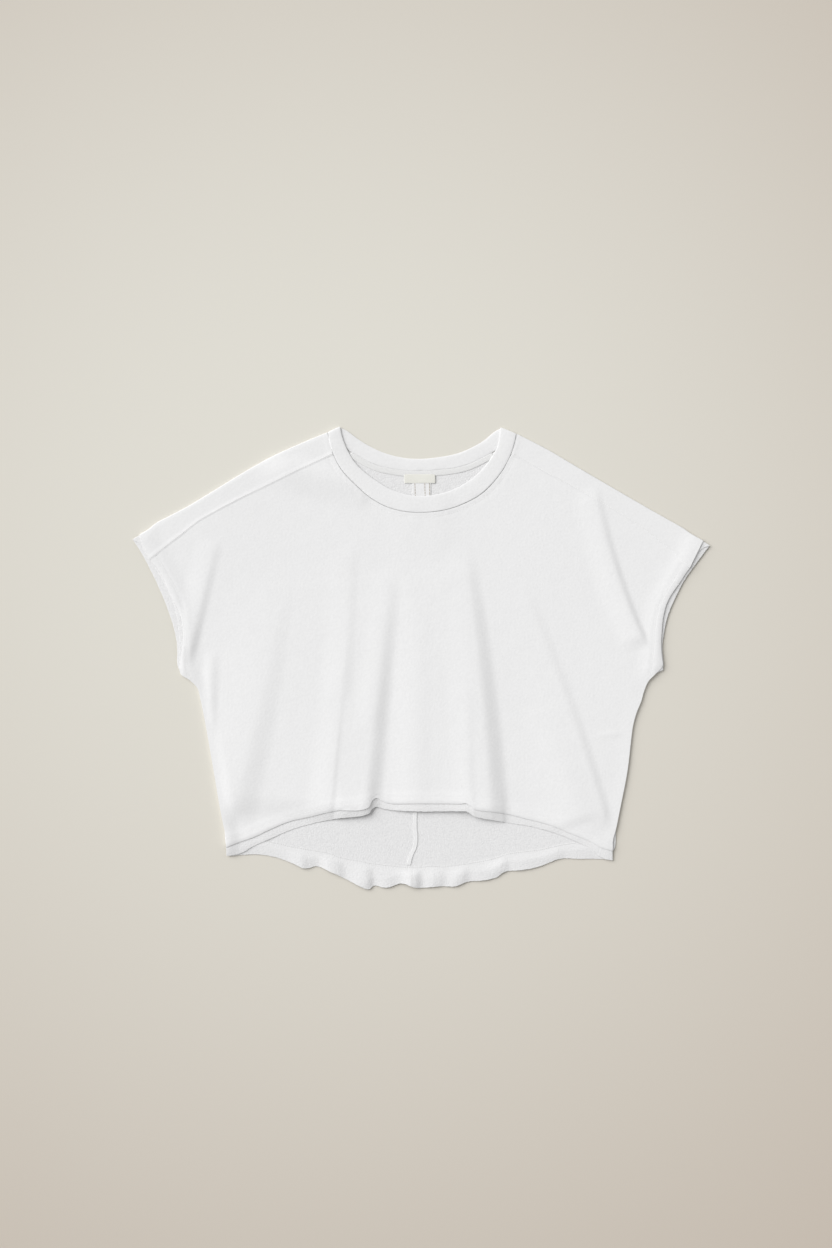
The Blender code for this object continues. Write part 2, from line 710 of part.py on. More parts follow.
def make_neck_band():
    """One doubled band: flat behind the neck, folded over at both corners, raised in front."""
    rib = cotton("neck_rib", (0.84, 0.84, 0.83, 1.0), 0.9)
    low = NECK_BAND / 2
    high = BAND_HEIGHT + NECK_BAND / 2
    sections = []
    for outer_x, outer_y, inner_x, inner_y in neck_front[1:-1]:
        up = (0.0, 0.0, 1.0)
        sections.append(((outer_x, outer_y, high), (inner_x, inner_y, high), up))
    sections += turn(*neck_corner(1), BAND_INSET, low, high)[::-1]
    for outer_x, outer_y, inner_x, inner_y in neck_back[-2:0:-1]:
        sections.append(((outer_x, outer_y, low), (inner_x, inner_y, low), (0.0, 0.0, -1.0)))
    sections += turn(*neck_corner(-1), BAND_INSET, low, high)
    ribbon("neck_band", sections, NECK_BAND, rib, True)


def make_tape_and_label():
    """The tape over the back neck seam, and the label under it."""
    twill = cotton("tape_twill", (0.78, 0.78, 0.75, 1.0), 0.9)
    cream = cotton("label_satin", (0.76, 0.74, 0.64, 1.0), 0.7)
    height = ON_BACK + TAPE / 2
    sections = []
    for s in between(NECK_BACK[2:-2], TAPE_SPANS):
        upper = moved_out(s[2:4], s[0:2], GAP)
        lower = moved_out(s[2:4], s[0:2], TAPE_WIDTH)
        sections.append(((*upper, height), (*lower, height), (0.0, 0.0, 1.0)))
    ribbon("back_neck_tape", sections, TAPE, twill, False)
    x, y = LABEL_CENTRE
    wide, tall = LABEL_SIZE
    z = ON_BACK + ALLOWANCE + GAP + LABEL / 2
    sections = []
    for step in range(4):
        place = x - wide / 2 + wide * step / 3
        sections.append(((place, y - tall / 2, z), (place, y + tall / 2, z), (0.0, 0.0, 1.0)))
    ribbon("neck_label", sections, LABEL, cream, False)


def make_seam_allowances():
    """The two allowances of the centre-back seam, opened over the inside of the back."""
    raw = cotton("seam_terry", (0.82, 0.82, 0.81, 1.0), 0.95)
    stations = between(CENTRE_BACK, ALLOWANCE_SPANS)
    height = ON_BACK + ALLOWANCE / 2
    for name, side, width in (("back_seam_right", -1, 2), ("back_seam_left", 1, 3)):
        middles = []
        for station in stations:
            x = station[1] + side * GAP / 2
            middles.append((x, station[0], height))
            middles.append((x + side * station[width], station[0], height))
        wall(name, middles, upward(middles), grid_faces(len(stations), 2), ALLOWANCE, raw)


def make_cuff(name, side, finish):
    """A facing sewn in a loop: one layer on the back, folded at both ends, one under the front."""
    low = ON_BACK + FACING / 2
    high = low + LAYER
    facing = sleeve_edge(side, "facing")
    front = sleeve_edge(side, "front")
    back = sleeve_edge(side, "back")
    sections = []
    for outer, inner in list(zip(front, facing))[1:-1]:
        sections.append(((*outer, high), (*inner, high), (0.0, 0.0, 1.0)))
    foot_away = across(front[-1], facing[-1], facing[-4])
    sections += turn(front[-1], facing[-1], foot_away, LAYER, low, high)[::-1]
    for outer, inner in list(zip(back, facing))[-2:0:-1]:
        sections.append(((*outer, low), (*inner, low), (0.0, 0.0, -1.0)))
    tip_away = across(back[0], facing[0], facing[3])
    sections += turn(back[0], facing[0], tip_away, LAYER + ON_BACK, low, high)
    ribbon(name, sections, FACING, finish, True)


def make_cuffs():
    terry = cotton("cuff_terry", (0.81, 0.81, 0.80, 1.0), 0.97)
    make_cuff("cuff_right", -1, terry)
    make_cuff("cuff_left", 1, terry)


for old in list(bpy.data.objects):
    bpy.data.objects.remove(old, do_unlink=True)

make_backs()
make_back_facing()
make_seam_allowances()
make_tape_and_label()
make_neck_band()
make_cuffs()
make_front()
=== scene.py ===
"""A white boxy knit top with cap sleeves, laid flat with its front up on a pale surface.

Plan sizes are in millimetres: X to the wearer's left, Y to the neck and Z up from the surface.
"""

import math
from collections import namedtuple

import bmesh
import bpy
import numpy as np
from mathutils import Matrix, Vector, noise
from mathutils.bvhtree import BVHTree
from mathutils.geometry import delaunay_2d_cdt
from mathutils.kdtree import KDTree


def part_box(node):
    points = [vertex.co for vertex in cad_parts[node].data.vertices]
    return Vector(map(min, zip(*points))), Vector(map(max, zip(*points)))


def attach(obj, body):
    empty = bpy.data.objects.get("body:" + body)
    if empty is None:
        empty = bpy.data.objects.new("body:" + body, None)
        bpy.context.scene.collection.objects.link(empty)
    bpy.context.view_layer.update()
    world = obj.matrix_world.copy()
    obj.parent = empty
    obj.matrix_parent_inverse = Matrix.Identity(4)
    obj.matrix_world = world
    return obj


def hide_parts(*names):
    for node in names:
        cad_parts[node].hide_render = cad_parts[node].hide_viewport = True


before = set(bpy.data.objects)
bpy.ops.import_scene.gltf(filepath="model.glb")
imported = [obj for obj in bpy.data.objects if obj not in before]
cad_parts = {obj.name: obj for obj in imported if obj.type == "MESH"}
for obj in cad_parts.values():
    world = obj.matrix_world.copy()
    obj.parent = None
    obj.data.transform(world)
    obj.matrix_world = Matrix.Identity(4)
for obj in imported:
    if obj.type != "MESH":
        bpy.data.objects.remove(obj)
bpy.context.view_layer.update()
MM = 0.001

# -------- the surface and the light
# A matt, warm off-white table top, seen from straight above. Its colour is painted lighter near one
# spot and darker away from it: painted light and shade. The light is one very wide soft source on
# the upper left, in a pale room.
PIXEL = 1.35  # millimetres of the surface for each pixel of the picture
PICTURE = (832, 1248)
ORIGIN_PIXEL = (421.3, 658.0)  # where the garment's origin shows
LENS = 85.0  # focal length of the camera
SENSOR = 36.0  # and the width of its sensor
TABLE = 4000.0  # width of the surface
TABLE_LEVEL = -0.2
PAINT = (0.733, 0.712, 0.645, 1.0)
# The far tone, its centre and its reach paint a falloff of light on the table: painted light,
# darker away from the centre.
PAINTED_SHADE_FAR = (0.525, 0.457, 0.388, 1.0)
PAINTED_LIGHT_CENTRE = (-0.143, 0.21, 0.0)  # metres: where the surface is lightest
PAINTED_LIGHT_REACH = (0.098, 1.544)  # and how far from there it starts and ends its change
LIGHT_FROM = (-0.70, 0.44, 0.58)
LIGHT_SPREAD = 50.0  # degrees
LIGHT_STRENGTH = 3.02
ROOM_STRENGTH = 0.455


class Value:
    """A socket in a node tree. Arithmetic on it adds Math nodes."""

    def __init__(self, graph, socket):
        self.graph = graph
        self.socket = socket

    def math(self, operation, *values):
        return self.graph.node("ShaderNodeMath", {"operation": operation}, dict(enumerate(values)))

    def __add__(self, other):
        return self.math("ADD", self, other)

    def __sub__(self, other):
        return self.math("SUBTRACT", self, other)

    def __rsub__(self, other):
        return self.math("SUBTRACT", other, self)

    def __mul__(self, other):
        return self.math("MULTIPLY", self, other)

    def __abs__(self):
        return self.math("ABSOLUTE", self)


class Graph:
    """A node tree that is built one node at a time."""

    def __init__(self, tree):
        self.tree = tree

    def node(self, kind, settings=(), values=(), output=0):
        made = self.tree.nodes.new(kind)
        for name, setting in dict(settings).items():
            setattr(made, name, setting)
        for name, value in dict(values).items():
            self.feed(made.inputs[name], value)
        return Value(self, made.outputs[output])

    def feed(self, socket, value):
        if isinstance(value, Value):
            self.tree.links.new(value.socket, socket)
        else:
            socket.default_value = value


class Finish(Graph):
    """A material: constants on its shader, and a graph for what varies."""

    def __init__(self, name, **constants):
        self.material = bpy.data.materials.new(name)
        self.material.use_nodes = True
        super().__init__(self.material.node_tree)
        self.shader = self.tree.nodes["Principled BSDF"]
        for title, value in constants.items():
            self.shader.inputs[title.replace("_", " ")].default_value = value
        self.place = self.node("ShaderNodeTexCoord", output="Object")

    def vary(self, title, value):
        self.feed(self.shader.inputs[title], value)

    def plan(self):
        """The X and the Y of a place."""
        x = self.node("ShaderNodeSeparateXYZ", {}, {0: self.place})
        return x, Value(self, x.socket.node.outputs[1])

    def noise(self, scale, detail=2.0):
        values = {"Vector": self.place, "Scale": scale, "Detail": detail}
        return self.node("ShaderNodeTexNoise", {}, values, "Fac")

    def ranged(self, value, low, high, start=0.0, end=1.0):
        """The value eased from one range to another."""
        values = {0: value, 1: low, 2: high, 3: start, 4: end}
        return self.node("ShaderNodeMapRange", {"interpolation_type": "SMOOTHSTEP"}, values)

    def mixed(self, share, first, second):
        values = {0: share, 6: first, 7: second}
        return self.node("ShaderNodeMix", {"data_type": "RGBA"}, values, 2)

    def bump(self, height, depth, strength=1.0):
        """Relief from a height of 0 to 1, its depth in millimetres."""
        values = {"Height": height, "Distance": depth * MM, "Strength": strength}
        self.vary("Normal", self.node("ShaderNodeBump", {}, values))


def linked(name, data, *finishes):
    """A new object of this data, in the scene."""
    made = bpy.data.objects.new(name, data)
    for finish in finishes:
        data.materials.append(finish)
    bpy.context.scene.collection.objects.link(made)
    return made


paint = Finish("table_paint", Roughness=0.85)
values = {0: paint.place, 1: PAINTED_LIGHT_CENTRE}
away = paint.node("ShaderNodeVectorMath", {"operation": "SUBTRACT"}, values)
reach = paint.node("ShaderNodeVectorMath", {"operation": "LENGTH"}, {0: away}, "Value")
# Painted light and shade: the table's colour darkens away from one centre.
paint.vary("Base Color", paint.mixed(paint.ranged(reach, *PAINTED_LIGHT_REACH), PAINT, PAINTED_SHADE_FAR))
paint.bump(paint.noise(900.0), depth=0.05, strength=0.4)

table_mesh = bpy.data.meshes.new("table_top")
half = TABLE / 2
corners = ((-half, -half), (half, -half), (half, half), (-half, half))
table_mesh.from_pydata([Vector((x, y, TABLE_LEVEL)) * MM for x, y in corners], [], [(0, 1, 2, 3)])
table = linked("table_top", table_mesh, paint.material)

sun = bpy.data.lights.new("wide_soft_light", "SUN")
sun.energy = LIGHT_STRENGTH
sun.angle = math.radians(LIGHT_SPREAD)
light = linked("wide_soft_light", sun)
light.rotation_euler = Vector(LIGHT_FROM).to_track_quat("Z", "Y").to_euler()
room = bpy.data.worlds.new("pale_room")
room.use_nodes = True
sky = room.node_tree.nodes["Background"].inputs
sky["Color"].default_value = (1.0, 1.0, 1.0, 1.0)
sky["Strength"].default_value = ROOM_STRENGTH
bpy.context.scene.world = room
bpy.context.scene.view_settings.view_transform = "Standard"

lens = bpy.data.cameras.new("camera")
lens.lens = LENS
lens.sensor_width = SENSOR
camera = linked("camera", lens)
camera.location = (
    (PICTURE[0] / 2 - ORIGIN_PIXEL[0]) * PIXEL * MM,
    (ORIGIN_PIXEL[1] - PICTURE[1] / 2) * PIXEL * MM,
    PICTURE[1] * PIXEL * LENS / SENSOR * MM,
)
bpy.context.scene.camera = camera

# -------- the two halves of the back
# White cotton French terry, smooth jersey outside and brushed loops inside. The back lies flat
# with its inside up, wraps over each shoulder and is sewn to the front at a forward seam. The
# height of the front is settled here, because the back's flaps join it.
WALE = 0.95  # width of one column of jersey stitches
COURSE = 0.8  # height of one row of them
JERSEY_GRAIN = 330.0  # how fine its uneven grain is
JERSEY_SLACK = 170.0  # and its slacker patches
LOOP = 1.5  # spacing of the terry's loops
TERRY_FLUFF = 430.0  # how fine the fluff on them is
CLOTH = (0.842, 0.840, 0.840, 1.0)
CLOTH_SLACK = (0.805, 0.803, 0.805, 1.0)
TERRY = (0.810, 0.807, 0.807, 1.0)
# The gap tone is painted shade between the terry's loops.
TERRY_GAP_SHADE = (0.725, 0.722, 0.726, 1.0)
RAW_EDGE = (0.820, 0.817, 0.815, 1.0)
# This gap tone too is painted shade between the loops.
RAW_EDGE_GAP_SHADE = (0.740, 0.736, 0.733, 1.0)
SHELL = 1.4  # thickness of the front and the back
FACING = 0.75  # of the hem and sleeve facings
GAP = 0.1  # between one piece and the next
LAYER = FACING + GAP  # how far a facing lifts what covers it
ON_SEAM = 0.6  # how far the centre-back allowances do
LOFT = 0.5  # how far the cloth stands off the layer below where it has no fold
LOFT_WAVES = (39.0, 53.0)
CELL = 1.5  # of the grid that holds where pieces lie
GRID_LOW = np.array((-405.0, -330.0))
GRID_SHAPE = (540, 440)
ROLL = 0.9  # width of the rounded rim of a cut edge
RIM_BULGE = 0.15  # how far its middle stands out
EDGE_SPACING = 2.6  # of the points along an edge
BACK_SPACING = 4.0  # of the points inside the back
TURN_STEPS = 8
TURN_REACH = 0.55  # how flat the shoulder fold is pressed
FLAP_SPACING = 3.0
FLAP_CROWD = 0.8  # below 1 it crowds a flap's points towards the seam

# Corners of the front and the back, and the underarms.
HEM_RIGHT = (-263, -255)
HEM_LEFT = (258, -260)
UNDERARM_LEFT = (317, -20)
UNDERARM_RIGHT = (-325, -20)
SLEEVE_TOP_LEFT = (362, 122)
SLEEVE_TOP_RIGHT = (-366, 132)
NECK_LEFT = (121, 274)
NECK_RIGHT = (-119, 274)
BACK_HEM_LEFT = (264, -226)
BACK_HEM_RIGHT = (-267, -226)
CENTRE_TOP = (3, 252)
CENTRE_FOOT = (-19, -298)
FOLD_LEFT = (129, 301.5)
FOLD_RIGHT = (-127, 303.5)
TIP_LEFT = (380, 157)
TIP_RIGHT = (-380, 165)

# The front's folds. Each climbs from the wearer's right over `rise`, keeps its height over `crest`
# and falls to the left over `fall`, which changes from its top to its foot. The line from its top
# to its foot is the middle of that fall, and `bow` bends it to the left. It grows along that line
# with the power `grows`, and ends over the share `fade` of its length.
Fold = namedtuple(
    "Fold", "top_x top_y foot_x foot_y height fall_top fall_foot crest rise bow grows fade"
)
FOLDS = (
    Fold(-270, 165, -309, 2, 2.2, 13, 12, 0, 30, 0, 0.5, 0.20),
    Fold(-276, 12, -281, -96, 1.9, 13, 13, 0, 13, 0, 0.5, 0.30),
    Fold(-176, 112, -239, -215, 3.4, 20, 40, 0, 90, 5, 1.0, 0.10),
    Fold(-96, 40, -121, -215, 0.9, 7, 5, 0, 40, 0, 0.8, 0.10),
    Fold(-88, 158, -98, -50, 0.8, 13, 14, 0, 38, 0, 0.3, 0.25),
    Fold(-33, 130, -67, -215, 3.5, 20, 28, 60, 220, 0, 1.0, 0.10),
    Fold(-33, 90, -67, -215, 1.5, 20, 24, 40, 42, 0, 0.5, 0.10),
    Fold(-33, 130, -58, -95, 0.9, 18, 22, 2, 24, 0, 0.5, 0.25),
    Fold(-64, -150, -68, -222, 2.2, 16, 4, 34, 20, 0, 1.6, 0.10),
    Fold(8, 90, 3, -215, 0.8, 24, 24, 0, 34, 0, 0.4, 0.10),
    Fold(63, 150, 107, -215, 4.2, 18, 32, 18, 170, 5, 0.7, 0.10),
    Fold(63, 165, 107, -215, 1.5, 18, 28, 6, 46, 5, 0.35, 0.10),
    Fold(66, -28, 70, -215, 0.9, 14, 12, 0, 40, 0, 0.6, 0.10),
    Fold(108, -160, 112, -222, 1.2, 14, 6, 36, 5, 0, 1.6, 0.10),
    Fold(133, 116, 254, -220, 2.0, 13, 14, 0, 70, 6, 0.8, 0.10),
    Fold(171, -50, 228, -215, 1.8, 34, 40, 0, 60, 0, 1.0, 0.10),
    Fold(236, 240, 303, 24, 2.5, 12, 8, 0, 36, -7, 0.4, 0.10),
    Fold(-66, 207, -205, 243, 3.6, 36, 36, 0, 26, 0, 0.4, 0.35),
    Fold(236, -101, 266, -99, 0.5, 5, 5, 0, 8, 0, 0.3, 0.40),
)
SIDE_RIDGES = (1.2, 0.4)  # how far the side seam's allowances lift the right edge and the left
SIDE_REACH = 20.0  # how far in from the edge that goes
SIDE_CORNER = 1.6  # how much more the right edge rises towards the hem
CORNER_SPAN = (-60.0, 150.0)  # where it starts to, and over what length
UNEVEN = ((0.10, 0.05, 2.0), (0.03, 0.14, 4.0))  # height, scale and seed of what is uneven
SEAM_RIDGE = (0.6, 2.3, 1.5)  # of a shoulder seam's flap: its height, place and half width
NECK_RIDGE = (0.35, 2.8, 2.0)  # of the cloth beside the neck band


def jersey(name, light_tone=CLOTH, slack_tone=CLOTH_SLACK):
    """Fine knit: rows of V stitches in wales along Y, slightly uneven."""
    knit = Finish(name, Roughness=0.93, Sheen_Weight=0.1, Sheen_Roughness=0.6)
    x, y = knit.plan()
    across = x.math("FRACT", x * (1 / (WALE * MM)))
    leg = abs(across - 0.5)
    row = y * (1 / (COURSE * MM)) + leg
    stitch = row.math("SINE", row * (2 * math.pi)) * 0.3 - leg * leg * 1.6
    pebble = knit.noise(JERSEY_GRAIN, detail=3.0)
    knit.bump(stitch * 0.4 + pebble * 1.6, depth=0.2, strength=0.75)
    slack = knit.ranged(knit.noise(JERSEY_SLACK, detail=3.0), 0.35, 0.7)
    grain = knit.ranged(pebble, 0.35, 0.68)
    knit.vary("Base Color", knit.mixed(slack * 0.25 + grain * 0.5, light_tone, slack_tone))
    return knit.material


def terry(name, loop_tone=TERRY, gap_shade_tone=TERRY_GAP_SHADE):
    """Looped knit, brushed soft: small round loops, with painted shade that darkens the gaps
    between them.
    """
    knit = Finish(name, Roughness=0.97, Sheen_Weight=0.15, Sheen_Roughness=0.7)
    values = {"Vector": knit.place, "Scale": 1 / (LOOP * MM), "Randomness": 0.9}
    cell = knit.node("ShaderNodeTexVoronoi", {}, values, "Distance")
    gap = knit.ranged(cell, 0.25, 0.85)
    fluff = knit.noise(TERRY_FLUFF, detail=3.0)
    knit.bump(1 - gap + fluff * 1.5, depth=0.2, strength=0.8)
    # The gaps between loops are painted darker as painted shade; the fluff varies the tone at
    # random.
    tone = gap * 0.4 + knit.ranged(fluff, 0.4, 0.7) * 0.5
    knit.vary("Base Color", knit.mixed(tone, loop_tone, gap_shade_tone))
    knit.vary("Roughness", knit.ranged(cell, 0.0, 0.9, 0.9, 1.0))
    return knit.material


def smooth(t):
    """0 below 0, 1 above 1 and a soft step between."""
    t = np.clip(t, 0.0, 1.0)
    return t * t * (3.0 - 2.0 * t)


def welded(node):
    """A welded copy of a CAD node, in millimetres."""
    shape = bmesh.new()
    shape.from_mesh(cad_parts[node].data)
    bmesh.ops.scale(shape, vec=(1 / MM, 1 / MM, 1 / MM), verts=shape.verts)
    bmesh.ops.remove_doubles(shape, verts=shape.verts, dist=0.02)
    return shape


def outline_of(node, level=0.5, pick=max):
    """The highest (or lowest) loop round a flat CAD node, anticlockwise from above."""
    shape = welded(node)
    upper = {face for face in shape.faces if face.normal.z > level}
    beyond = {}
    for face in upper:
        for corner in face.loops:
            if not any(other in upper for other in corner.edge.link_faces if other != face):
                beyond[corner.vert] = corner.link_loop_next.vert
    loops = []
    while beyond:
        start, place = beyond.popitem()
        found = [start]
        while place != start:
            found.append(place)
            place = beyond.pop(place)
        if len(found) > 12:
            loops.append(np.array([tuple(vert.co) for vert in found]))
    shape.free()
    return pick(loops, key=lambda loop: loop[:, 2].mean())[:, :2]


def stretch(loop, start, end):
    """The part of an anticlockwise loop from one place to another."""
    first, last = (int(np.argmin(np.linalg.norm(loop - place, axis=1))) for place in (start, end))
    return np.roll(loop, -first, axis=0)[: (last - first) % len(loop) + 1]


def spread(path, count):
    """Count + 1 evenly spaced points on a smooth curve through the points of an open path."""
    lengths = np.linalg.norm(np.diff(path, axis=0), axis=1)
    along = np.concatenate(([0.0], np.cumsum(lengths)))
    slopes = np.gradient(path, along, axis=0)
    places = np.linspace(0.0, along[-1], count + 1)
    span = np.clip(np.searchsorted(along, places, side="right") - 1, 0, len(lengths) - 1)
    width = lengths[span][:, None]
    t = (places - along[span])[:, None] / width
    start = (2 * t**3 - 3 * t**2 + 1) * path[span] + (t**3 - 2 * t**2 + t) * width * slopes[span]
    end = (3 * t**2 - 2 * t**3) * path[span + 1] + (t**3 - t**2) * width * slopes[span + 1]
    return start + end


def resampled(path, spacing):
    """The open path as a smooth curve with points this far apart."""
    length = np.linalg.norm(np.diff(path, axis=0), axis=1).sum()
    return spread(path, max(1, round(length / spacing)))


def beside(path, distance, closed=False):
    """The path moved to its left."""
    ahead = np.gradient(path, axis=0)
    if closed:
        ahead = np.roll(path, -1, axis=0) - np.roll(path, 1, axis=0)
    ahead = ahead / np.linalg.norm(ahead, axis=1)[:, None]
    return path + distance * np.stack((-ahead[:, 1], ahead[:, 0]), axis=1)


def rounded(loop, corners, proud=0.0):
    """The loop on smooth curves between these corners, `proud` outside, and where each starts."""
    parts = []
    for start, end in zip(corners, corners[1:] + corners[:1]):
        parts.append(resampled(stretch(loop, start, end), EDGE_SPACING)[:-1])
    starts = np.concatenate(([0], np.cumsum([len(part) for part in parts])))
    return beside(np.vstack(parts), -proud, True), starts


def gap_to(places, path):
    """How far each place is from the closest point of a path."""
    tree = KDTree(len(path))
    for index, (x, y) in enumerate(path):
        tree.insert((x, y, 0.0), index)
    tree.balance()
    return np.array([tree.find((x, y, 0.0))[2] for x, y in places])


def inside(places, outline):
    x, y = places.T
    found = np.zeros(len(places), bool)
    for (ax, ay), (bx, by) in zip(outline, np.roll(outline, -1, axis=0)):
        if ay != by:
            crossed = (ay > y) != (by > y)
            found ^= crossed & (x < ax + (bx - ax) * (y - ay) / (by - ay))
    return found


def filled(outline, spacing):
    """Points and triangles that fill an outline, and which of the points are its own."""
    rim = beside(outline, ROLL, True)
    rim = rim[gap_to(rim, outline) > 0.6 * ROLL]
    low, high = outline.min(axis=0), outline.max(axis=0)
    rows = np.arange(low[1], high[1], spacing * 0.866)
    columns = np.arange(low[0], high[0], spacing)
    places = np.array([(x + spacing / 2 * (i % 2), y) for i, y in enumerate(rows) for x in columns])
    places = places[inside(places, outline)]
    places = places[gap_to(places, np.vstack((rim, outline))) > 0.6 * spacing]
    points = [Vector(p) for p in np.vstack((outline, rim, places))]
    made = delaunay_2d_cdt(points, [], [list(range(len(outline)))], 1, 1e-4)
    own = {}
    for place, sources in enumerate(made[3]):
        own.update((source, place) for source in sources)
    return np.array([tuple(p) for p in made[0]]), [list(face) for face in made[2]], own


def layered(name, middles, outs, faces, thickness, finishes):
    """A layer of cloth: its outer face, its inner face and a cut rim between them."""
    thickness = np.broadcast_to(thickness, len(middles))
    owners = {}
    for face in faces:
        for a, b in zip(face, face[1:] + face[:1]):
            owners.setdefault((min(a, b), max(a, b)), []).append(face)
    border = [(edge, beside[0]) for edge, beside in owners.items() if len(beside) == 1]
    ways = {}
    for (a, b), face in border:
        edge = middles[b] - middles[a]
        way = (middles[a] + middles[b]) / 2 - middles[face].mean(axis=0)
        way = way - edge * (way @ edge) / (edge @ edge)
        for place in (a, b):
            ways[place] = ways.get(place, 0.0) + way / np.linalg.norm(way)
    count = len(middles)
    ring = {place: 2 * count + order for order, place in enumerate(ways)}
    bulge = np.minimum(thickness / 4, RIM_BULGE)
    proud = [middles[i] + w / np.linalg.norm(w) * bulge[i] for i, w in ways.items()]
    half = thickness[:, None] / 2 * outs
    walls = faces + [[i + count for i in reversed(face)] for face in faces]
    for (a, b), _ in border:
        walls += [[a, b, ring[b], ring[a]], [ring[a], ring[b], b + count, a + count]]
    mesh = bpy.data.meshes.new(name)
    points = np.vstack((middles + half, middles - half, proud)) * MM
    mesh.from_pydata([Vector(p) for p in points], [], walls)
    shape = bmesh.new()
    shape.from_mesh(mesh)
    bmesh.ops.recalc_face_normals(shape, faces=shape.faces)
    for face in shape.faces:
        face.smooth = True
        face.material_index = min(face.index // len(faces), 2)
    for edge in shape.edges:
        edge.smooth = edge.link_faces[0].material_index == edge.link_faces[1].material_index
    shape.to_mesh(mesh)
    shape.free()
    return linked(name, mesh, *finishes)


def surface_of(made):
    """What finds where a line meets the object, in millimetres."""
    corners = [tuple(vert.co / MM) for vert in made.data.vertices]
    return BVHTree.FromPolygons(corners, [tuple(face.vertices) for face in made.data.polygons])


def dropped(tree, x, y):
    """Where a line from high above this place first meets the surface."""
    return tree.ray_cast((x, y, 50.0), (0.0, 0.0, -1.0))[0]


def footprint(nodes, grow, soften):
    """A grid that is 1 on the CAD nodes and `grow` past them, then eases to 0."""
    grid = np.zeros(GRID_SHAPE)
    for node in nodes:
        tree = surface_of(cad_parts[node])
        low, high = (np.array(corner)[:2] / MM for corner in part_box(node))
        first = np.maximum(np.floor((low - GRID_LOW) / CELL).astype(int), 0)
        last = np.minimum(np.ceil((high - GRID_LOW) / CELL).astype(int) + 1, GRID_SHAPE)
        for i in range(first[0], last[0]):
            for j in range(first[1], last[1]):
                x, y = GRID_LOW + CELL * np.array((i, j))
                if dropped(tree, x, y):
                    grid[i, j] = 1.0
    for step in range(round(grow / CELL)):
        shifts = [(1, 0), (-1, 0), (0, 1), (0, -1)]
        shifts += [(1, 1), (-1, 1), (1, -1), (-1, -1)] * (step % 2)
        grid = np.maximum.reduce([grid] + [np.roll(grid, s, (0, 1)) for s in shifts])
    cells = max(1, round(soften / CELL / 2))
    for axis in (0, 1, 0, 1):
        grid = sum(np.roll(grid, k, axis) for k in range(-cells, cells + 1)) / (2 * cells + 1)
    return grid


def read(grid, x, y):
    """The grid's value at these places."""
    u = np.clip((x - GRID_LOW[0]) / CELL, 0, GRID_SHAPE[0] - 2)
    v = np.clip((y - GRID_LOW[1]) / CELL, 0, GRID_SHAPE[1] - 2)
    i, j = u.astype(int), v.astype(int)
    u, v = u - i, v - j
    low = grid[i, j] * (1 - u) + grid[i + 1, j] * u
    high = grid[i, j + 1] * (1 - u) + grid[i + 1, j + 1] * u
    return low * (1 - v) + high * v


def fold_height(x, y, folds):
    """How far the folds lift the cloth at these places."""
    lift = np.zeros(len(x))
    for fold in folds:
        run = (fold.foot_x - fold.top_x, fold.foot_y - fold.top_y)
        length = math.hypot(*run)
        down = ((x - fold.top_x) * run[0] + (y - fold.top_y) * run[1]) / length**2
        away = ((fold.top_x - x) * run[1] + (y - fold.top_y) * run[0]) / length
        t = np.clip(down, 0.0, 1.0)
        fall = fold.fall_top + (fold.fall_foot - fold.fall_top) * t
        past = away - fold.bow * 4.0 * t * (1.0 - t) + fall / 2
        across = smooth(1.0 + (past + fold.crest) / fold.rise) * (1.0 - smooth(past / fall))
        ending = smooth((1.0 + fold.fade / 2 - down) / fold.fade)
        lift += fold.height * t**fold.grows * smooth(t / 0.12) * ending * across
    return lift


def wander(places, size, scale, seed):
    """Smooth random values up to this size at these places."""
    return size * np.array([noise.noise((x * scale, y * scale, seed)) for x, y in places[:, :2]])


front_loop = outline_of("front_panel")
right_side = resampled(stretch(front_loop, UNDERARM_RIGHT, HEM_RIGHT), 1.0)
left_side = resampled(stretch(front_loop, HEM_LEFT, UNDERARM_LEFT), 1.0)
on_cuffs = footprint(["cuff_right", "cuff_left"], grow=3.0, soften=14.0)
on_front_band = footprint(["front_hem_band"], grow=0.0, soften=6.0)
on_back_band = footprint(["back_hem_band"], grow=6.0, soften=24.0)
on_allowances = footprint(["back_seam_right", "back_seam_left"], grow=26.0, soften=24.0)


def front_under(x, y):
    """Height of the front's underside at these places."""
    places = np.stack((x, y), axis=1)
    layers = 2 * LAYER * read(on_cuffs, x, y) + ON_SEAM * read(on_allowances, x, y)
    layers += LAYER * (read(on_front_band, x, y) + read(on_back_band, x, y))
    ridge = 0.0
    inwards = 1.0
    corner = SIDE_CORNER * smooth((CORNER_SPAN[0] - y) / CORNER_SPAN[1])
    for height, side in zip((SIDE_RIDGES[0] + corner, SIDE_RIDGES[1]), (right_side, left_side)):
        in_from_edge = smooth(gap_to(places, side) / SIDE_REACH)
        ridge = ridge + height * (1.0 - in_from_edge)
        inwards = inwards * in_from_edge
    loft = LOFT * (0.5 + 0.5 * np.sin(x / LOFT_WAVES[0]) * np.cos(y / LOFT_WAVES[1]))
    small = sum(wander(places, *wave) for wave in UNEVEN)
    lift = inwards * (loft + fold_height(x, y, FOLDS)) + ridge
    return SHELL + GAP + layers + np.maximum(lift + small, 0.0)


def ridge_at(gap, height, place, half_width):
    return height * np.exp(-(((gap - place) / half_width) ** 2))


def cloth(piece, node, trims=()):
    """Parents a layer of the garment's cloth to the root body and hides the CAD node it stands for.
    """
    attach(piece, "root")
    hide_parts(node)
    trims = list(trims)


jersey_face = jersey("jersey_face")
terry_inside = terry("terry_inside")
raw_edge = terry("raw_edge", RAW_EDGE, RAW_EDGE_GAP_SHADE)


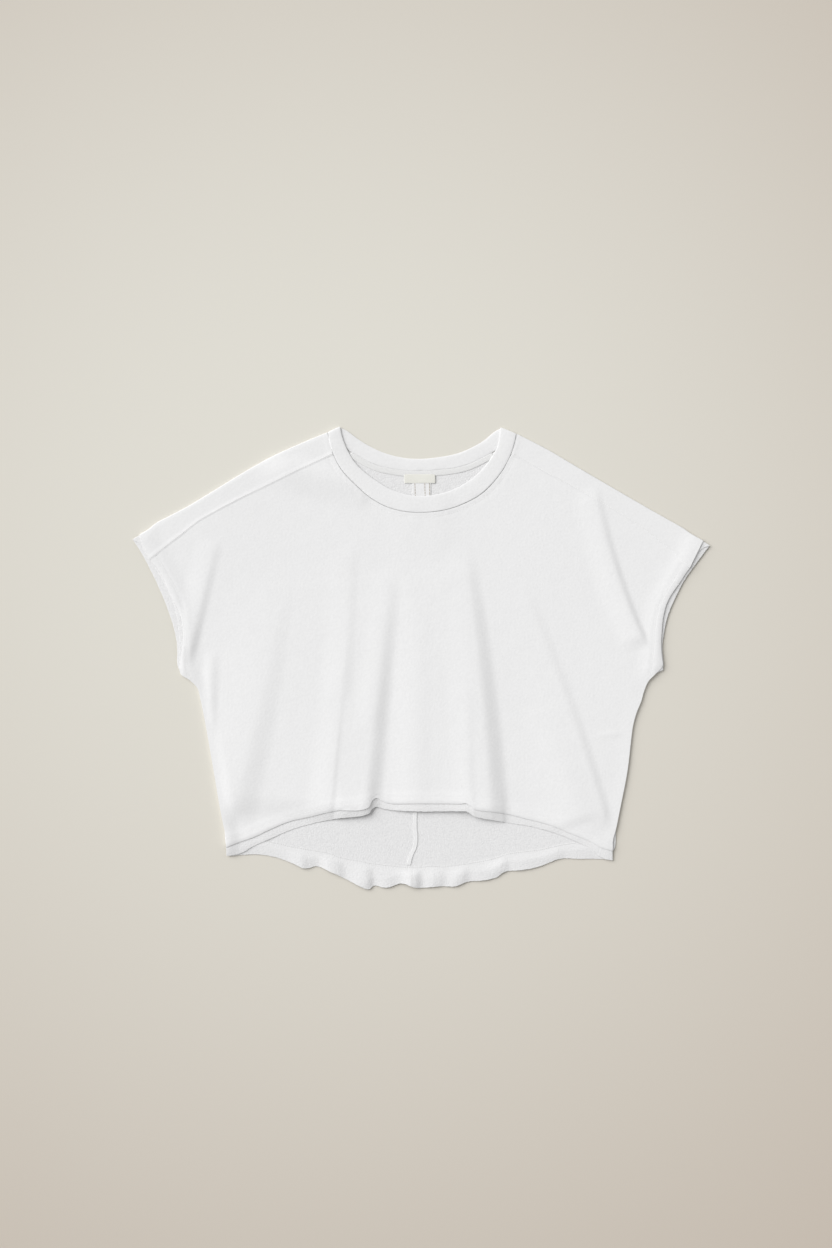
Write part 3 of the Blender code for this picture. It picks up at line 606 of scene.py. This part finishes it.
def back_half(side, corners, fold_part, seam):
    """One half: flat on the surface, then over the shoulder fold to the front."""
    loop = outline_of(f"back_{side}", level=0.97, pick=min)
    outline, starts = rounded(loop, corners, proud=0.15)
    flat, faces, own = filled(outline, BACK_SPACING)
    first, last = starts[fold_part], starts[fold_part + 1]
    base = outline[first : last + 1]
    ends = spread(seam, len(base) - 1)
    ahead = np.gradient(base, axis=0)
    ahead /= np.linalg.norm(ahead, axis=1)[:, None]
    out = np.stack((ahead[:, 1], -ahead[:, 0]), axis=1)
    radius = front_under(*base.T) / 2
    steps = max(2, round(np.linalg.norm(ends - base, axis=1).mean() / FLAP_SPACING))
    middles = [np.column_stack((flat, np.full(len(flat), SHELL / 2)))]
    outs = [np.tile((0.0, 0.0, -1.0), (len(flat), 1))]
    for step in range(1, TURN_STEPS + 1):
        angle = math.pi * (step / TURN_STEPS - 0.5)
        height = SHELL / 2 + radius * (1.0 + math.sin(angle))
        reach = TURN_REACH * radius[:, None] * math.cos(angle)
        middles.append(np.column_stack((base + out * reach, height)))
        outs.append(np.column_stack((out * math.cos(angle), np.full(len(base), math.sin(angle)))))
    for step in range(1, steps + 1):
        places = base + (ends - base) * (step / steps) ** FLAP_CROWD
        height = front_under(*places.T) + SHELL / 2 + ridge_at(gap_to(places, ends), *SEAM_RIDGE)
        height += ridge_at(gap_to(places, neck_edge), *NECK_RIDGE)
        middles.append(np.column_stack((places, height)))
        outs.append(np.tile((0.0, 0.0, 1.0), (len(base), 1)))
    columns = TURN_STEPS + steps
    size = len(base)
    index = [[own[(first + i) % len(outline)] for i in range(size)]]
    index += [[len(flat) + size * c + i for i in range(size)] for c in range(columns)]
    for c in range(columns):
        for i in range(size - 1):
            faces.append([index[c][i], index[c][i + 1], index[c + 1][i + 1], index[c + 1][i]])
    finishes = (jersey_face, terry_inside, raw_edge)
    middles = np.vstack(middles)
    return layered(f"back_half_{side}", middles, np.vstack(outs), faces, SHELL, finishes)


neck_edge = resampled(stretch(outline_of("neck_band"), FOLD_RIGHT, FOLD_LEFT), 1.0)
halves = (
    (
        "right",
        [CENTRE_FOOT, CENTRE_TOP, FOLD_RIGHT, TIP_RIGHT, BACK_HEM_RIGHT],
        2,
        stretch(front_loop, NECK_RIGHT, SLEEVE_TOP_RIGHT),
    ),
    (
        "left",
        [CENTRE_TOP, CENTRE_FOOT, BACK_HEM_LEFT, TIP_LEFT, FOLD_LEFT],
        3,
        stretch(front_loop, SLEEVE_TOP_LEFT, NECK_LEFT),
    ),
)
for side, corners, fold_part, seam in halves:
    back = back_half(side, corners, fold_part, seam)
    cloth(back, f"back_{side}")

# -------- the back hem's facing
# A raw-cut band of the same cloth, brushed side up, sewn inside the back hem. Its lower edge hangs
# past the back's own, and has curled up into small waves.
BACK_BAND_RIGHT = (-259, -267)
BACK_BAND_LEFT = (256, -272)
BACK_INNER_LEFT = (256, -238)
BACK_INNER_RIGHT = (-259, -232)
BACK_BAND_CAD = 1.2  # thickness of its solid
BACK_BAND_SQUASH = 0.74  # share of the solid's height that it keeps
BACK_BAND_GAP = 0.04  # under it where it is sewn down
BACK_STITCH_INSET = 1.0
FACING_SPACING = 2.2  # of the points inside a hem's facing
RAGGED = 0.35  # how closely the wandering of a raw cut follows on
TERRY_RAW = (0.822, 0.819, 0.819, 1.0)
# The gap tone is painted shade between the terry's loops.
TERRY_RAW_GAP_SHADE = (0.748, 0.745, 0.747, 1.0)
BACK_PRESSED = (0.35, 12.0)  # thickness left where it is sewn down, and over what width
WHITE_THREAD = (0.900, 0.898, 0.893, 1.0)
WHITE_THREAD_SHADE = (0.820, 0.817, 0.812, 1.0)
GREY_THREAD = (0.380, 0.376, 0.372, 1.0)
GREY_THREAD_SHADE = (0.540, 0.536, 0.530, 1.0)
BACK_WAVES = (
    Fold(-160, -250, -156, -284, 1.1, 11, 12, 0, 22, 0, 0.6, 0.4),
    Fold(-112, -258, -106, -298, 2.2, 11, 14, 0, 26, 0, 0.6, 0.4),
    Fold(-70, -266, -68, -310, 1.6, 10, 12, 0, 22, 0, 0.6, 0.4),
    Fold(-5, -272, -2, -312, 3.2, 11, 12, 0, 28, 0, 0.6, 0.4),
    Fold(28, -272, 30, -308, 1.0, 10, 12, 0, 20, 0, 0.6, 0.4),
    Fold(60, -268, 62, -304, 1.3, 10, 12, 0, 22, 0, 0.6, 0.4),
    Fold(112, -260, 116, -290, 1.5, 11, 14, 0, 26, 0, 0.6, 0.4),
    Fold(186, -248, 190, -272, 0.8, 11, 14, 0, 26, 0, 0.6, 0.4),
)


def upward(points):
    return np.tile((0.0, 0.0, 1.0), (len(points), 1))


def heights_on(node, places):
    """Height of the top of a CAD node at these places."""
    tree = surface_of(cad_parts[node])
    hits = [dropped(tree, x, y) or tree.find_nearest((x, y, 5.0))[0] for x, y in places]
    return np.array([hit.z for hit in hits])


def ragged(cut, size, seeds):
    """The points of a raw cut, each moved a little."""
    return cut + np.stack([wander(cut, size, RAGGED, seed) for seed in seeds], axis=1)


terry_raw = terry("terry_raw_edge", TERRY_RAW, TERRY_RAW_GAP_SHADE)
corners = [BACK_BAND_RIGHT, BACK_BAND_LEFT, BACK_INNER_LEFT, BACK_INNER_RIGHT]
outline, starts = rounded(outline_of("back_hem_band"), corners)
outline[: starts[1]] = ragged(outline[: starts[1]], 0.5, seeds=(1, 2))
back_inner = outline[starts[2] : starts[3] + 1]
flat, faces, own = filled(outline, FACING_SPACING)
height = (heights_on("back_hem_band", flat) - BACK_BAND_CAD / 2) * BACK_BAND_SQUASH
height += fold_height(*flat.T, BACK_WAVES)
pressed = 1.0 - smooth(gap_to(flat, back_inner) / BACK_PRESSED[1])
thickness = FACING * (1.0 - (1.0 - BACK_PRESSED[0]) * pressed)
height -= pressed * (height - SHELL - BACK_BAND_GAP - thickness / 2)
middles = np.column_stack((flat, height))
finishes = (terry_raw, terry_raw, raw_edge)
back_hem = layered("back_hem_facing", middles, upward(flat), faces, thickness, finishes)


def evaluated(made):
    """The object with its modifiers turned into plain mesh."""
    graph = bpy.context.evaluated_depsgraph_get()
    mesh = bpy.data.meshes.new_from_object(made.evaluated_get(graph))
    made.modifiers.clear()
    made.data = mesh
    return made


class Recipe(Graph):
    """A Geometry Nodes tree whose sizes are named inputs, in millimetres."""

    def __init__(self, name, sizes):
        super().__init__(bpy.data.node_groups.new(name, "GeometryNodeTree"))
        sides = self.tree.interface
        sides.new_socket("Path", in_out="INPUT", socket_type="NodeSocketGeometry")
        for title, size in sizes.items():
            socket = sides.new_socket(title, in_out="INPUT", socket_type="NodeSocketFloat")
            socket.default_value = size
        sides.new_socket("Made", in_out="OUTPUT", socket_type="NodeSocketGeometry")
        self.entry = self.tree.nodes.new("NodeGroupInput")

    def metres(self, title):
        return Value(self, self.entry.outputs[title]) * MM

    def spots(self):
        """Points along the path, one for each Spacing."""
        path = Value(self, self.entry.outputs["Path"])
        curve = self.node("GeometryNodeMeshToCurve", {}, {"Mesh": path})
        values = {"Curve": curve, "Length": self.metres("Spacing")}
        return self.node("GeometryNodeResampleCurve", {"mode": "LENGTH"}, values)

    def strewn(self, shape, turn, sizes, finish):
        """Puts a shape at each spot, as plain mesh with this finish, and ends the tree."""
        size = self.node("ShaderNodeCombineXYZ", {}, dict(enumerate(sizes)))
        values = {"Points": self.spots(), "Instance": shape, "Rotation": turn, "Scale": size}
        placed = self.node("GeometryNodeInstanceOnPoints", {}, values)
        real = self.node("GeometryNodeRealizeInstances", {}, {"Geometry": placed})
        dressed = self.node("GeometryNodeSetMaterial", {}, {"Geometry": real, "Material": finish})
        self.feed(self.tree.nodes.new("NodeGroupOutput").inputs["Made"], dressed)


def stitches(name, finish):
    """Rounded stitches laid along a path."""
    recipe = Recipe(name, {"Spacing": 3.0, "Length": 2.4, "Width": 0.6, "Height": 0.4})
    ball = recipe.node("GeometryNodeMeshUVSphere", {}, {"Segments": 6, "Rings": 4, "Radius": 0.5})
    ahead = recipe.node("GeometryNodeInputTangent")
    settings = {"axis": "X", "pivot_axis": "Z"}
    turn = recipe.node("FunctionNodeAlignRotationToVector", settings, {"Vector": ahead})
    sizes = [recipe.metres(title) for title in ("Length", "Width", "Height")]
    recipe.strewn(ball, turn, sizes, finish)
    return recipe


def fray(name, finish, seed):
    """Short fibres that stick out of a cut edge."""
    recipe = Recipe(name, {"Spacing": 1.1, "Length": 1.7, "Width": 0.2})
    settings = {"data_type": "FLOAT_VECTOR"}
    values = {0: (-1.0, -1.0, -0.2), 1: (1.0, 1.0, 0.35), "Seed": seed}
    way = recipe.node("FunctionNodeRandomValue", settings, values)
    turn = recipe.node("FunctionNodeAlignRotationToVector", {"axis": "Z"}, {"Vector": way})
    values = {2: 0.3, 3: 1.0, "Seed": seed + 1}
    share = recipe.node("FunctionNodeRandomValue", {"data_type": "FLOAT"}, values, 1)
    width = recipe.metres("Width")
    values = {"Vertices": 3, "Radius Top": 0.1, "Radius Bottom": 0.5, "Depth": 1.0}
    fibre = recipe.node("GeometryNodeMeshCone", {}, values)
    recipe.strewn(fibre, turn, [width, width, recipe.metres("Length") * share], finish)
    return recipe


def grown(name, recipe, chains, sizes=()):
    """What the recipe makes along these chains of points, riding with the cloth."""
    edges, start = [], 0
    for chain in chains:
        edges += [(start + i, start + i + 1) for i in range(len(chain) - 1)]
        start += len(chain)
    mesh = bpy.data.meshes.new(name)
    mesh.from_pydata([Vector(point) * MM for chain in chains for point in chain], edges, [])
    made = linked(name, mesh)
    rule = made.modifiers.new("rule", "NODES")
    rule.node_group = recipe.tree
    for item in recipe.tree.interface.items_tree:
        if item.name in dict(sizes):
            rule[item.identifier] = dict(sizes)[item.name]
    evaluated(made).data.shade_smooth()
    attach(made, "root")
    return made


def on_top(path, made, sink=0.0):
    """The path laid on the object's upper side."""
    tree = surface_of(made)
    hits = [dropped(tree, x, y) for x, y in path]
    return [(hit.x, hit.y, hit.z - sink) for hit in hits if hit]


def thread_finish(name, tone, shade):
    """Spun thread: a fine twist and slight changes of tone along it."""
    thread = Finish(name, Roughness=0.75, Sheen_Weight=0.2)
    twist = thread.noise(1400.0)
    thread.vary("Base Color", thread.mixed(thread.ranged(twist, 0.3, 0.7), tone, shade))
    thread.bump(twist, depth=0.05, strength=0.6)
    return thread.material


white_thread = thread_finish("white_thread", WHITE_THREAD, WHITE_THREAD_SHADE)
grey_thread = thread_finish("grey_thread", GREY_THREAD, GREY_THREAD_SHADE)
white_stitch = stitches("white_stitches", white_thread)
grey_stitch = stitches("grey_stitches", grey_thread)
fibres = fray("cut_edge_fibres", terry_raw, 11)

row = on_top(beside(back_inner, BACK_STITCH_INSET), back_hem, sink=0.1)
sizes = {"Spacing": 2.7, "Length": 2.0, "Width": 0.85, "Height": 0.35}
sewing = grown("back_hem_stitches", grey_stitch, [row], sizes)
cut = [middles[own[i]] for i in range(starts[1] + 1)]
fringe = grown("back_hem_fibres", fibres, [cut], {"Spacing": 0.8})
trims = [sewing, fringe]
cloth(back_hem, "back_hem_band", trims)

# -------- the centre-back seam's allowances
# The seam that joins the back halves, opened flat inside. Each allowance is a narrow strip of the
# cloth with an overlocked edge, wider at the neck and drawn in towards the hem.
LIFT = 0.05  # of what is sewn to the back, over it
ALLOWANCE = 0.65  # thickness
ALLOWANCE_LENGTH = 0.525  # metres
ALLOWANCE_SPACING = 2.0
ALLOWANCES = (("right", 0.0145, 0.00324), ("left", 0.0105, 0.00246))  # side, width and area
ALLOWANCE_CORNERS = ((1, 8), (-1, 8), (-1, -8), (1, -8))  # each is furthest from its way
ALLOWANCE_WAVE = (0.08, 0.2, 3.0)  # height, scale and seed
SEAM_Y, SEAM_X = (-296.0, 252.0), (-17.0, 3.0)  # the two ends of the seam
DRAWN_IN = 0.66  # share of their width left at the hem
DRAWN_SPAN = (-140.0, 50.0)  # where they start to narrow, and over what length
OVERLOCK = {"Spacing": 2.0, "Length": 1.1, "Width": 1.3, "Height": 0.7}
TAN_THREADS = {"right": (-8.8,), "left": (4.6, 10.8)}  # where they lie, across, at the neck
TAN_LEAN = 0.6  # how much further left each ends
TAN_SPAN = (238, 219)  # Y of its ends
TAN_POINTS = 18
TAN_LENGTHS = {"Spacing": 3.6, "Length": 4.2, "Width": 1.0, "Height": 0.45}
TAN = (0.30, 0.24, 0.17, 1.0)
TAN_SHADE = (0.44, 0.38, 0.29, 1.0)
tan_stitch = stitches("tan_stitches", thread_finish("tan_thread", TAN, TAN_SHADE))
loop = outline_of("back_seam_right")
outer_edge = loop[loop[:, 0] < np.interp(loop[:, 1], SEAM_Y, SEAM_X) - 1.0]
outer_edge = outer_edge[np.argsort(outer_edge[:, 1])][:, ::-1].T
for side, width, area in ALLOWANCES:
    node = f"back_seam_{side}"
    loop = outline_of(node)
    corners = [tuple(loop[np.argmin(loop @ np.array(way))]) for way in ALLOWANCE_CORNERS]
    outline, starts = rounded(loop, corners, proud=0.14)
    drawn_in = (1.0 - DRAWN_IN) * smooth((DRAWN_SPAN[0] - outline[:, 1]) / DRAWN_SPAN[1])
    outline[:, 0] -= drawn_in * (outline[:, 0] - np.interp(outline[:, 1], *outer_edge))
    flat, faces, own = filled(outline, ALLOWANCE_SPACING)
    height = SHELL + LIFT + ALLOWANCE / 2 + ALLOWANCE_WAVE[0] + wander(flat, *ALLOWANCE_WAVE)
    middles = np.column_stack((flat, height))
    name = f"seam_allowance_{side}"
    finishes = (jersey_face, jersey_face, raw_edge)
    allowance = layered(name, middles, upward(flat), faces, ALLOWANCE, finishes)
    long_side = {"right": 3, "left": 1}[side]
    edge = [own[i % len(outline)] for i in range(starts[long_side], starts[long_side + 1] + 1)]
    beads = middles[edge] + (0.0, 0.0, 0.15)
    overlock = grown(f"overlock_{side}", white_stitch, [beads], OVERLOCK)
    drops = []
    for x_tan in TAN_THREADS[side]:
        x = np.linspace(x_tan, x_tan + TAN_LEAN, TAN_POINTS)
        y = np.linspace(*TAN_SPAN, TAN_POINTS)
        drops.append(on_top(np.stack((x, y), axis=1), allowance))
    tan = grown(f"tan_thread_{side}", tan_stitch, drops, TAN_LENGTHS)
    cut = (ALLOWANCE_LENGTH, width)
    cloth(allowance, node, [overlock, tan])

# -------- the neck tape and its label
# A narrow twill tape sewn over the back neck seam, and a small soft cream label under it, woven
# with slubs and sewn down at both ends. The label is bare.
TAPE_TUCK = 1.0  # how far its upper edge goes in under the neck band
TAPE_CAD = 1.7  # underside of its solid
TAPE_SQUASH = 0.8
LABEL_CAD = 3.0  # underside of its solid
LABEL_LOW = 2.3  # and its own underside
LABEL_SQUASH = 0.45
LABEL_WAVE = (0.12, 6.0)  # height and reach of its slight waves
TWILL = (0.880, 0.878, 0.872, 1.0)
TWILL_DARK = (0.850, 0.848, 0.840, 1.0)
LABEL = (0.830, 0.824, 0.765, 1.0)
LABEL_DARK = (0.730, 0.718, 0.645, 1.0)
TWILL_RIB = 0.9  # spacing of the tape's slanting ribs
LABEL_WEFT = 0.5  # and of the label's threads

twill = Finish("tape_twill", Roughness=0.85, Sheen_Weight=0.1)
x, y = twill.plan()
rib = (x + y).math("SINE", (x + y) * (2 * math.pi / (TWILL_RIB * MM)))
twill.vary("Base Color", twill.mixed(twill.ranged(rib, -1.0, 1.0) * 0.6, TWILL, TWILL_DARK))
twill.bump(rib, depth=0.08)

satin = Finish("label_satin", Roughness=0.55, Sheen_Weight=0.15)
x, y = satin.plan()
weft = y.math("SINE", y * (2 * math.pi / (LABEL_WEFT * MM)))
slub = satin.ranged(satin.noise(1100.0), 0.35, 0.75)
satin.vary("Base Color", satin.mixed(slub * 0.4, LABEL, LABEL_DARK))
satin.bump(weft * 0.5 + slub, depth=0.06)


def softened(name, node, finish, levels, sharp=None, hold=1.0):
    """A CAD node made finer. Edges that turn by more than `sharp` degrees are held crisp."""
    shape = welded(node)
    limits = {"angle_face_threshold": math.radians(15), "angle_shape_threshold": math.radians(120)}
    bmesh.ops.join_triangles(shape, faces=shape.faces, **limits)
    if sharp:
        crease = shape.edges.layers.float.new("crease_edge")
        for edge in shape.edges:
            edge[crease] = hold * (edge.calc_face_angle(0.0) > math.radians(sharp))
    mesh = bpy.data.meshes.new(name)
    bmesh.ops.scale(shape, vec=(MM, MM, MM), verts=shape.verts)
    shape.to_mesh(mesh)
    shape.free()
    mesh.shade_smooth()
    made = linked(name, mesh, finish)
    finer = made.modifiers.new("finer", "SUBSURF")
    finer.levels = finer.render_levels = levels
    return evaluated(made)


def points_of(made):
    """The object's points, in millimetres."""
    found = np.empty(len(made.data.vertices) * 3)
    made.data.vertices.foreach_get("co", found)
    return found.reshape(-1, 3) / MM


def moved_to(made, points):
    made.data.vertices.foreach_set("co", (points * MM).ravel())
    made.data.update()


tape = softened("neck_tape", "back_neck_tape", twill.material, levels=3, sharp=60)
places = points_of(tape)
places[:, 1] += TAPE_TUCK
places[:, 2] = SHELL + LIFT + (places[:, 2] - TAPE_CAD) * TAPE_SQUASH
moved_to(tape, places)
label = softened("woven_label", "neck_label", satin.material, levels=3, sharp=60, hold=0.9)
places = points_of(label)
wave, span = LABEL_WAVE
places[:, 2] = LABEL_LOW + (places[:, 2] - LABEL_CAD) * LABEL_SQUASH
places[:, 2] += wave * np.sin(places[:, 0] / span)
moved_to(label, places)
cloth(tape, "back_neck_tape")
cloth(label, "neck_label")

# -------- the neck band
# One doubled strip of the same jersey in a ring, smooth side out. It is folded at the neck opening
# and sewn to the front and the back at its outer edge.
BACK_BAND_TOP = 1.4  # what is higher belongs to its front, fully so after FRONT_STEP more
FRONT_STEP = 1.8
FRONT_BAND_HEIGHT = 3.0  # of its solid's underside in front
BAND_SETTLE = 1.3  # how much closer to the back it lies there
BAND_CORNER = 55.0  # how far from the shoulder folds that is so
BAND_SQUASH = 0.36  # how much thinner its fold is pressed
BAND_WAVE = (0.08, 0.05, 5.0)  # height, scale and seed
neck_band = softened("neck_ring", "neck_band", jersey_face, levels=3)
places = points_of(neck_band)
x, y, z = places.T
in_front = smooth((z - BACK_BAND_TOP) / FRONT_STEP)
corner_gap = np.minimum(*(np.hypot(x - cx, y - cy) for cx, cy in (FOLD_LEFT, FOLD_RIGHT)))
settle = BAND_SETTLE - ON_SEAM * read(on_allowances, x, y)
places[:, 2] -= settle * in_front * smooth(corner_gap / BAND_CORNER)
places[:, 2] -= BAND_SQUASH * (in_front * (z - FRONT_BAND_HEIGHT) + (1.0 - in_front) * z)
places[:, 2] += wander(places, *BAND_WAVE)
moved_to(neck_band, places)
cloth(neck_band, "neck_band")

# -------- the sleeve facings
# A raw-cut loop of the cloth inside each sleeve opening, brushed side out. Its edge shows past the
# shell's, on the front and on the back.
CUFF_CAD = (1.7, 2.7)  # underside and height of its solid
CUFF_HEIGHT = 2 * FACING + GAP  # from one layer's underside to the other's top
CUFF_ACROSS = (0.4, 0.25, 7.0)  # size, scale and seed of its wandering across
CUFF_WAVE = (0.08, 0.15, 8.0)  # and up
for side in ("right", "left"):
    node = f"cuff_{side}"
    cuff = softened(f"sleeve_facing_{side}", node, terry_raw, levels=3, sharp=50, hold=0.9)
    places = points_of(cuff)
    places[:, 0] += wander(places, *CUFF_ACROSS)
    places[:, 2] = SHELL + GAP + (places[:, 2] - CUFF_CAD[0]) * CUFF_HEIGHT / CUFF_CAD[1]
    places[:, 2] += wander(places, *CUFF_WAVE)
    moved_to(cuff, places)
    cloth(cuff, node)

# -------- the front and its hem facing
# The front and its cap sleeves are one layer of the cloth, smooth side out. It is cut raw at the
# sleeves and the hem, and lies in long soft folds from the neck and the shoulders to the hem.
SPACING = 3.2  # of the points in the front
STITCH_INSET = 4.5  # of a row of stitches from the edge of the facing that it holds
GROOVE = (0.42, 0.0, 1.6)  # of the dent along such a row: its depth, place and half width
NECK_STITCH = 5.4  # of the row beside the neck band
DOUBLE_ROW = 2.6  # between the two rows that hold a sleeve facing
SUNK = 0.05  # how far stitches go into the cloth
FRONT_STITCH = {"Spacing": 2.9, "Length": 2.4, "Width": 0.8, "Height": 0.4}
SHOULDER_STITCH = {"Spacing": 2.7, "Length": 2.6, "Width": 1.2, "Height": 0.5}
seams = {side: resampled(seam, 1.0) for side, corners, fold_part, seam in halves}
THIN_EDGE = (0.6, 1.8)  # share of the cloth's thickness left at a raw edge, and over what width
NECK_TUCK = 0.12  # how far the front goes in under the neck band
LEAST = SHELL + 0.02  # the least height of its underside
TURNED_IN = 2.0  # over what width its sides turn in to the back
BAND_RIGHT = (-263, -267)
BAND_LEFT = (258, -273)
BAND_INNER_LEFT = (258, -249)
BAND_INNER_RIGHT = (-263, -239)
CUFF_ENDS_LEFT = ((366, 166), (306, -24))
CUFF_ENDS_RIGHT = ((-312, -24), (-370, 172))

# The hem's two dog-ears. Each row moves the hem up by `rise`. That sets in from X `start` over
# `ease`, and dies away from X `end` over `ebb`.
DogEar = namedtuple("DogEar", "rise start ease end ebb")
DOG_EARS = (
    DogEar(-3.0, -112.0, 25.0, -71.0, 4.0),
    DogEar(3.2, -70.0, 4.0, -64.0, 16.0),
    DogEar(3.2, 52.0, 10.0, 67.0, 3.5),
)
DOG_EAR_REACH = 18.0  # how far up from the hem they are felt

hem_band_loop = outline_of("front_hem_band")
hem_inner = resampled(stretch(hem_band_loop, BAND_INNER_LEFT, BAND_INNER_RIGHT), 1.0)
hem_stitches = beside(hem_inner, STITCH_INSET)
cuff_stitches = []
for node, ends in (("cuff_left", CUFF_ENDS_LEFT), ("cuff_right", CUFF_ENDS_RIGHT)):
    inner = resampled(stretch(outline_of(node), *ends), 1.0)
    cuff_stitches.append(beside(inner, STITCH_INSET))
neckline = resampled(stretch(front_loop, NECK_LEFT, NECK_RIGHT), 1.0)
neck_stitches = beside(neckline, NECK_STITCH)

corners = [HEM_RIGHT, HEM_LEFT, SLEEVE_TOP_LEFT, NECK_LEFT, NECK_RIGHT, SLEEVE_TOP_RIGHT]
front_outline, starts = rounded(front_loop, corners, proud=0.25)
raw_edges = [front_outline[: starts[1] + 1]]
raw_edges.append(resampled(stretch(front_loop, UNDERARM_LEFT, SLEEVE_TOP_LEFT), 1.0))
raw_edges.append(resampled(stretch(front_loop, SLEEVE_TOP_RIGHT, UNDERARM_RIGHT), 1.0))


def hung(places):
    """The places, with the hem's two dog-ears drawn in."""
    x = places[:, 0]
    near = 1.0 - smooth(gap_to(places, raw_edges[0]) / DOG_EAR_REACH)
    moved = places.copy()
    for ear in DOG_EARS:
        share = smooth((x - ear.start) / ear.ease) * (1.0 - smooth((x - ear.end) / ear.ebb))
        moved[:, 1] += ear.rise * share * near
    return moved


neck_tuck = beside(front_outline, -NECK_TUCK, True)
front_outline[starts[3] : starts[4] + 1] = neck_tuck[starts[3] : starts[4] + 1]
flat, faces, own = filled(front_outline, SPACING)
flat = hung(flat)
under = front_under(*flat.T)
for row in [hem_stitches, *cuff_stitches, neck_stitches]:
    under -= ridge_at(gap_to(flat, row), *GROOVE)
under += ridge_at(gap_to(flat, neckline), *NECK_RIDGE)
thinner = 1.0 - smooth(gap_to(flat, np.vstack(raw_edges)) / THIN_EDGE[1])
thickness = SHELL * (1.0 - (1.0 - THIN_EDGE[0]) * thinner)
under = np.maximum(under, LEAST)
side_gap = np.minimum(gap_to(flat, right_side), gap_to(flat, left_side))
turned_in = (under - LEAST) * (1.0 - smooth(side_gap / TURNED_IN))
under -= turned_in
thickness = thickness + turned_in
middles = np.column_stack((flat, under + thickness / 2))
finishes = (jersey_face, terry_inside, raw_edge)
front = layered("front", middles, upward(flat), faces, thickness, finishes)
for side, seam in seams.items():
    row = on_top(beside(seam, -SEAM_RIDGE[1]), bpy.data.objects[f"back_half_{side}"], SUNK)
    grown(f"shoulder_stitches_{side}", white_stitch, [row], SHOULDER_STITCH)
rows = [hung(hem_stitches), neck_stitches]
for row in cuff_stitches:
    rows += [row, beside(row, DOUBLE_ROW)]
rows = [on_top(row, front, SUNK) for row in rows]
sewing = grown("front_stitches", white_stitch, rows, FRONT_STITCH)
rims = []
for first, last in ((0, 1), (1, 2), (5, 6)):
    cut = [own[i % len(front_outline)] for i in range(starts[first], starts[last] + 1)]
    rims.append(middles[cut])
fringe = grown("front_fibres", fibres, rims)
trims = [sewing, fringe]
cloth(front, "front_panel", trims)

corners = [BAND_RIGHT, BAND_LEFT, BAND_INNER_LEFT, BAND_INNER_RIGHT]
outline, starts = rounded(hem_band_loop, corners)
outline[: starts[1]] = ragged(outline[: starts[1]], 0.4, seeds=(3, 4))
flat, faces, own = filled(outline, FACING_SPACING)
flat = hung(flat)
under = np.maximum(front_under(*flat.T) - LAYER, SHELL + LIFT)
middles = np.column_stack((flat, under + FACING / 2))
finishes = (terry_raw, jersey_face, raw_edge)
front_hem = layered("front_hem_facing", middles, upward(flat), faces, FACING, finishes)
cut = [middles[own[i]] for i in range(starts[1] + 1)]
fringe = grown("front_hem_fibres", fibres, [cut], {"Spacing": 0.8})
cloth(front_hem, "front_hem_band", [fringe])
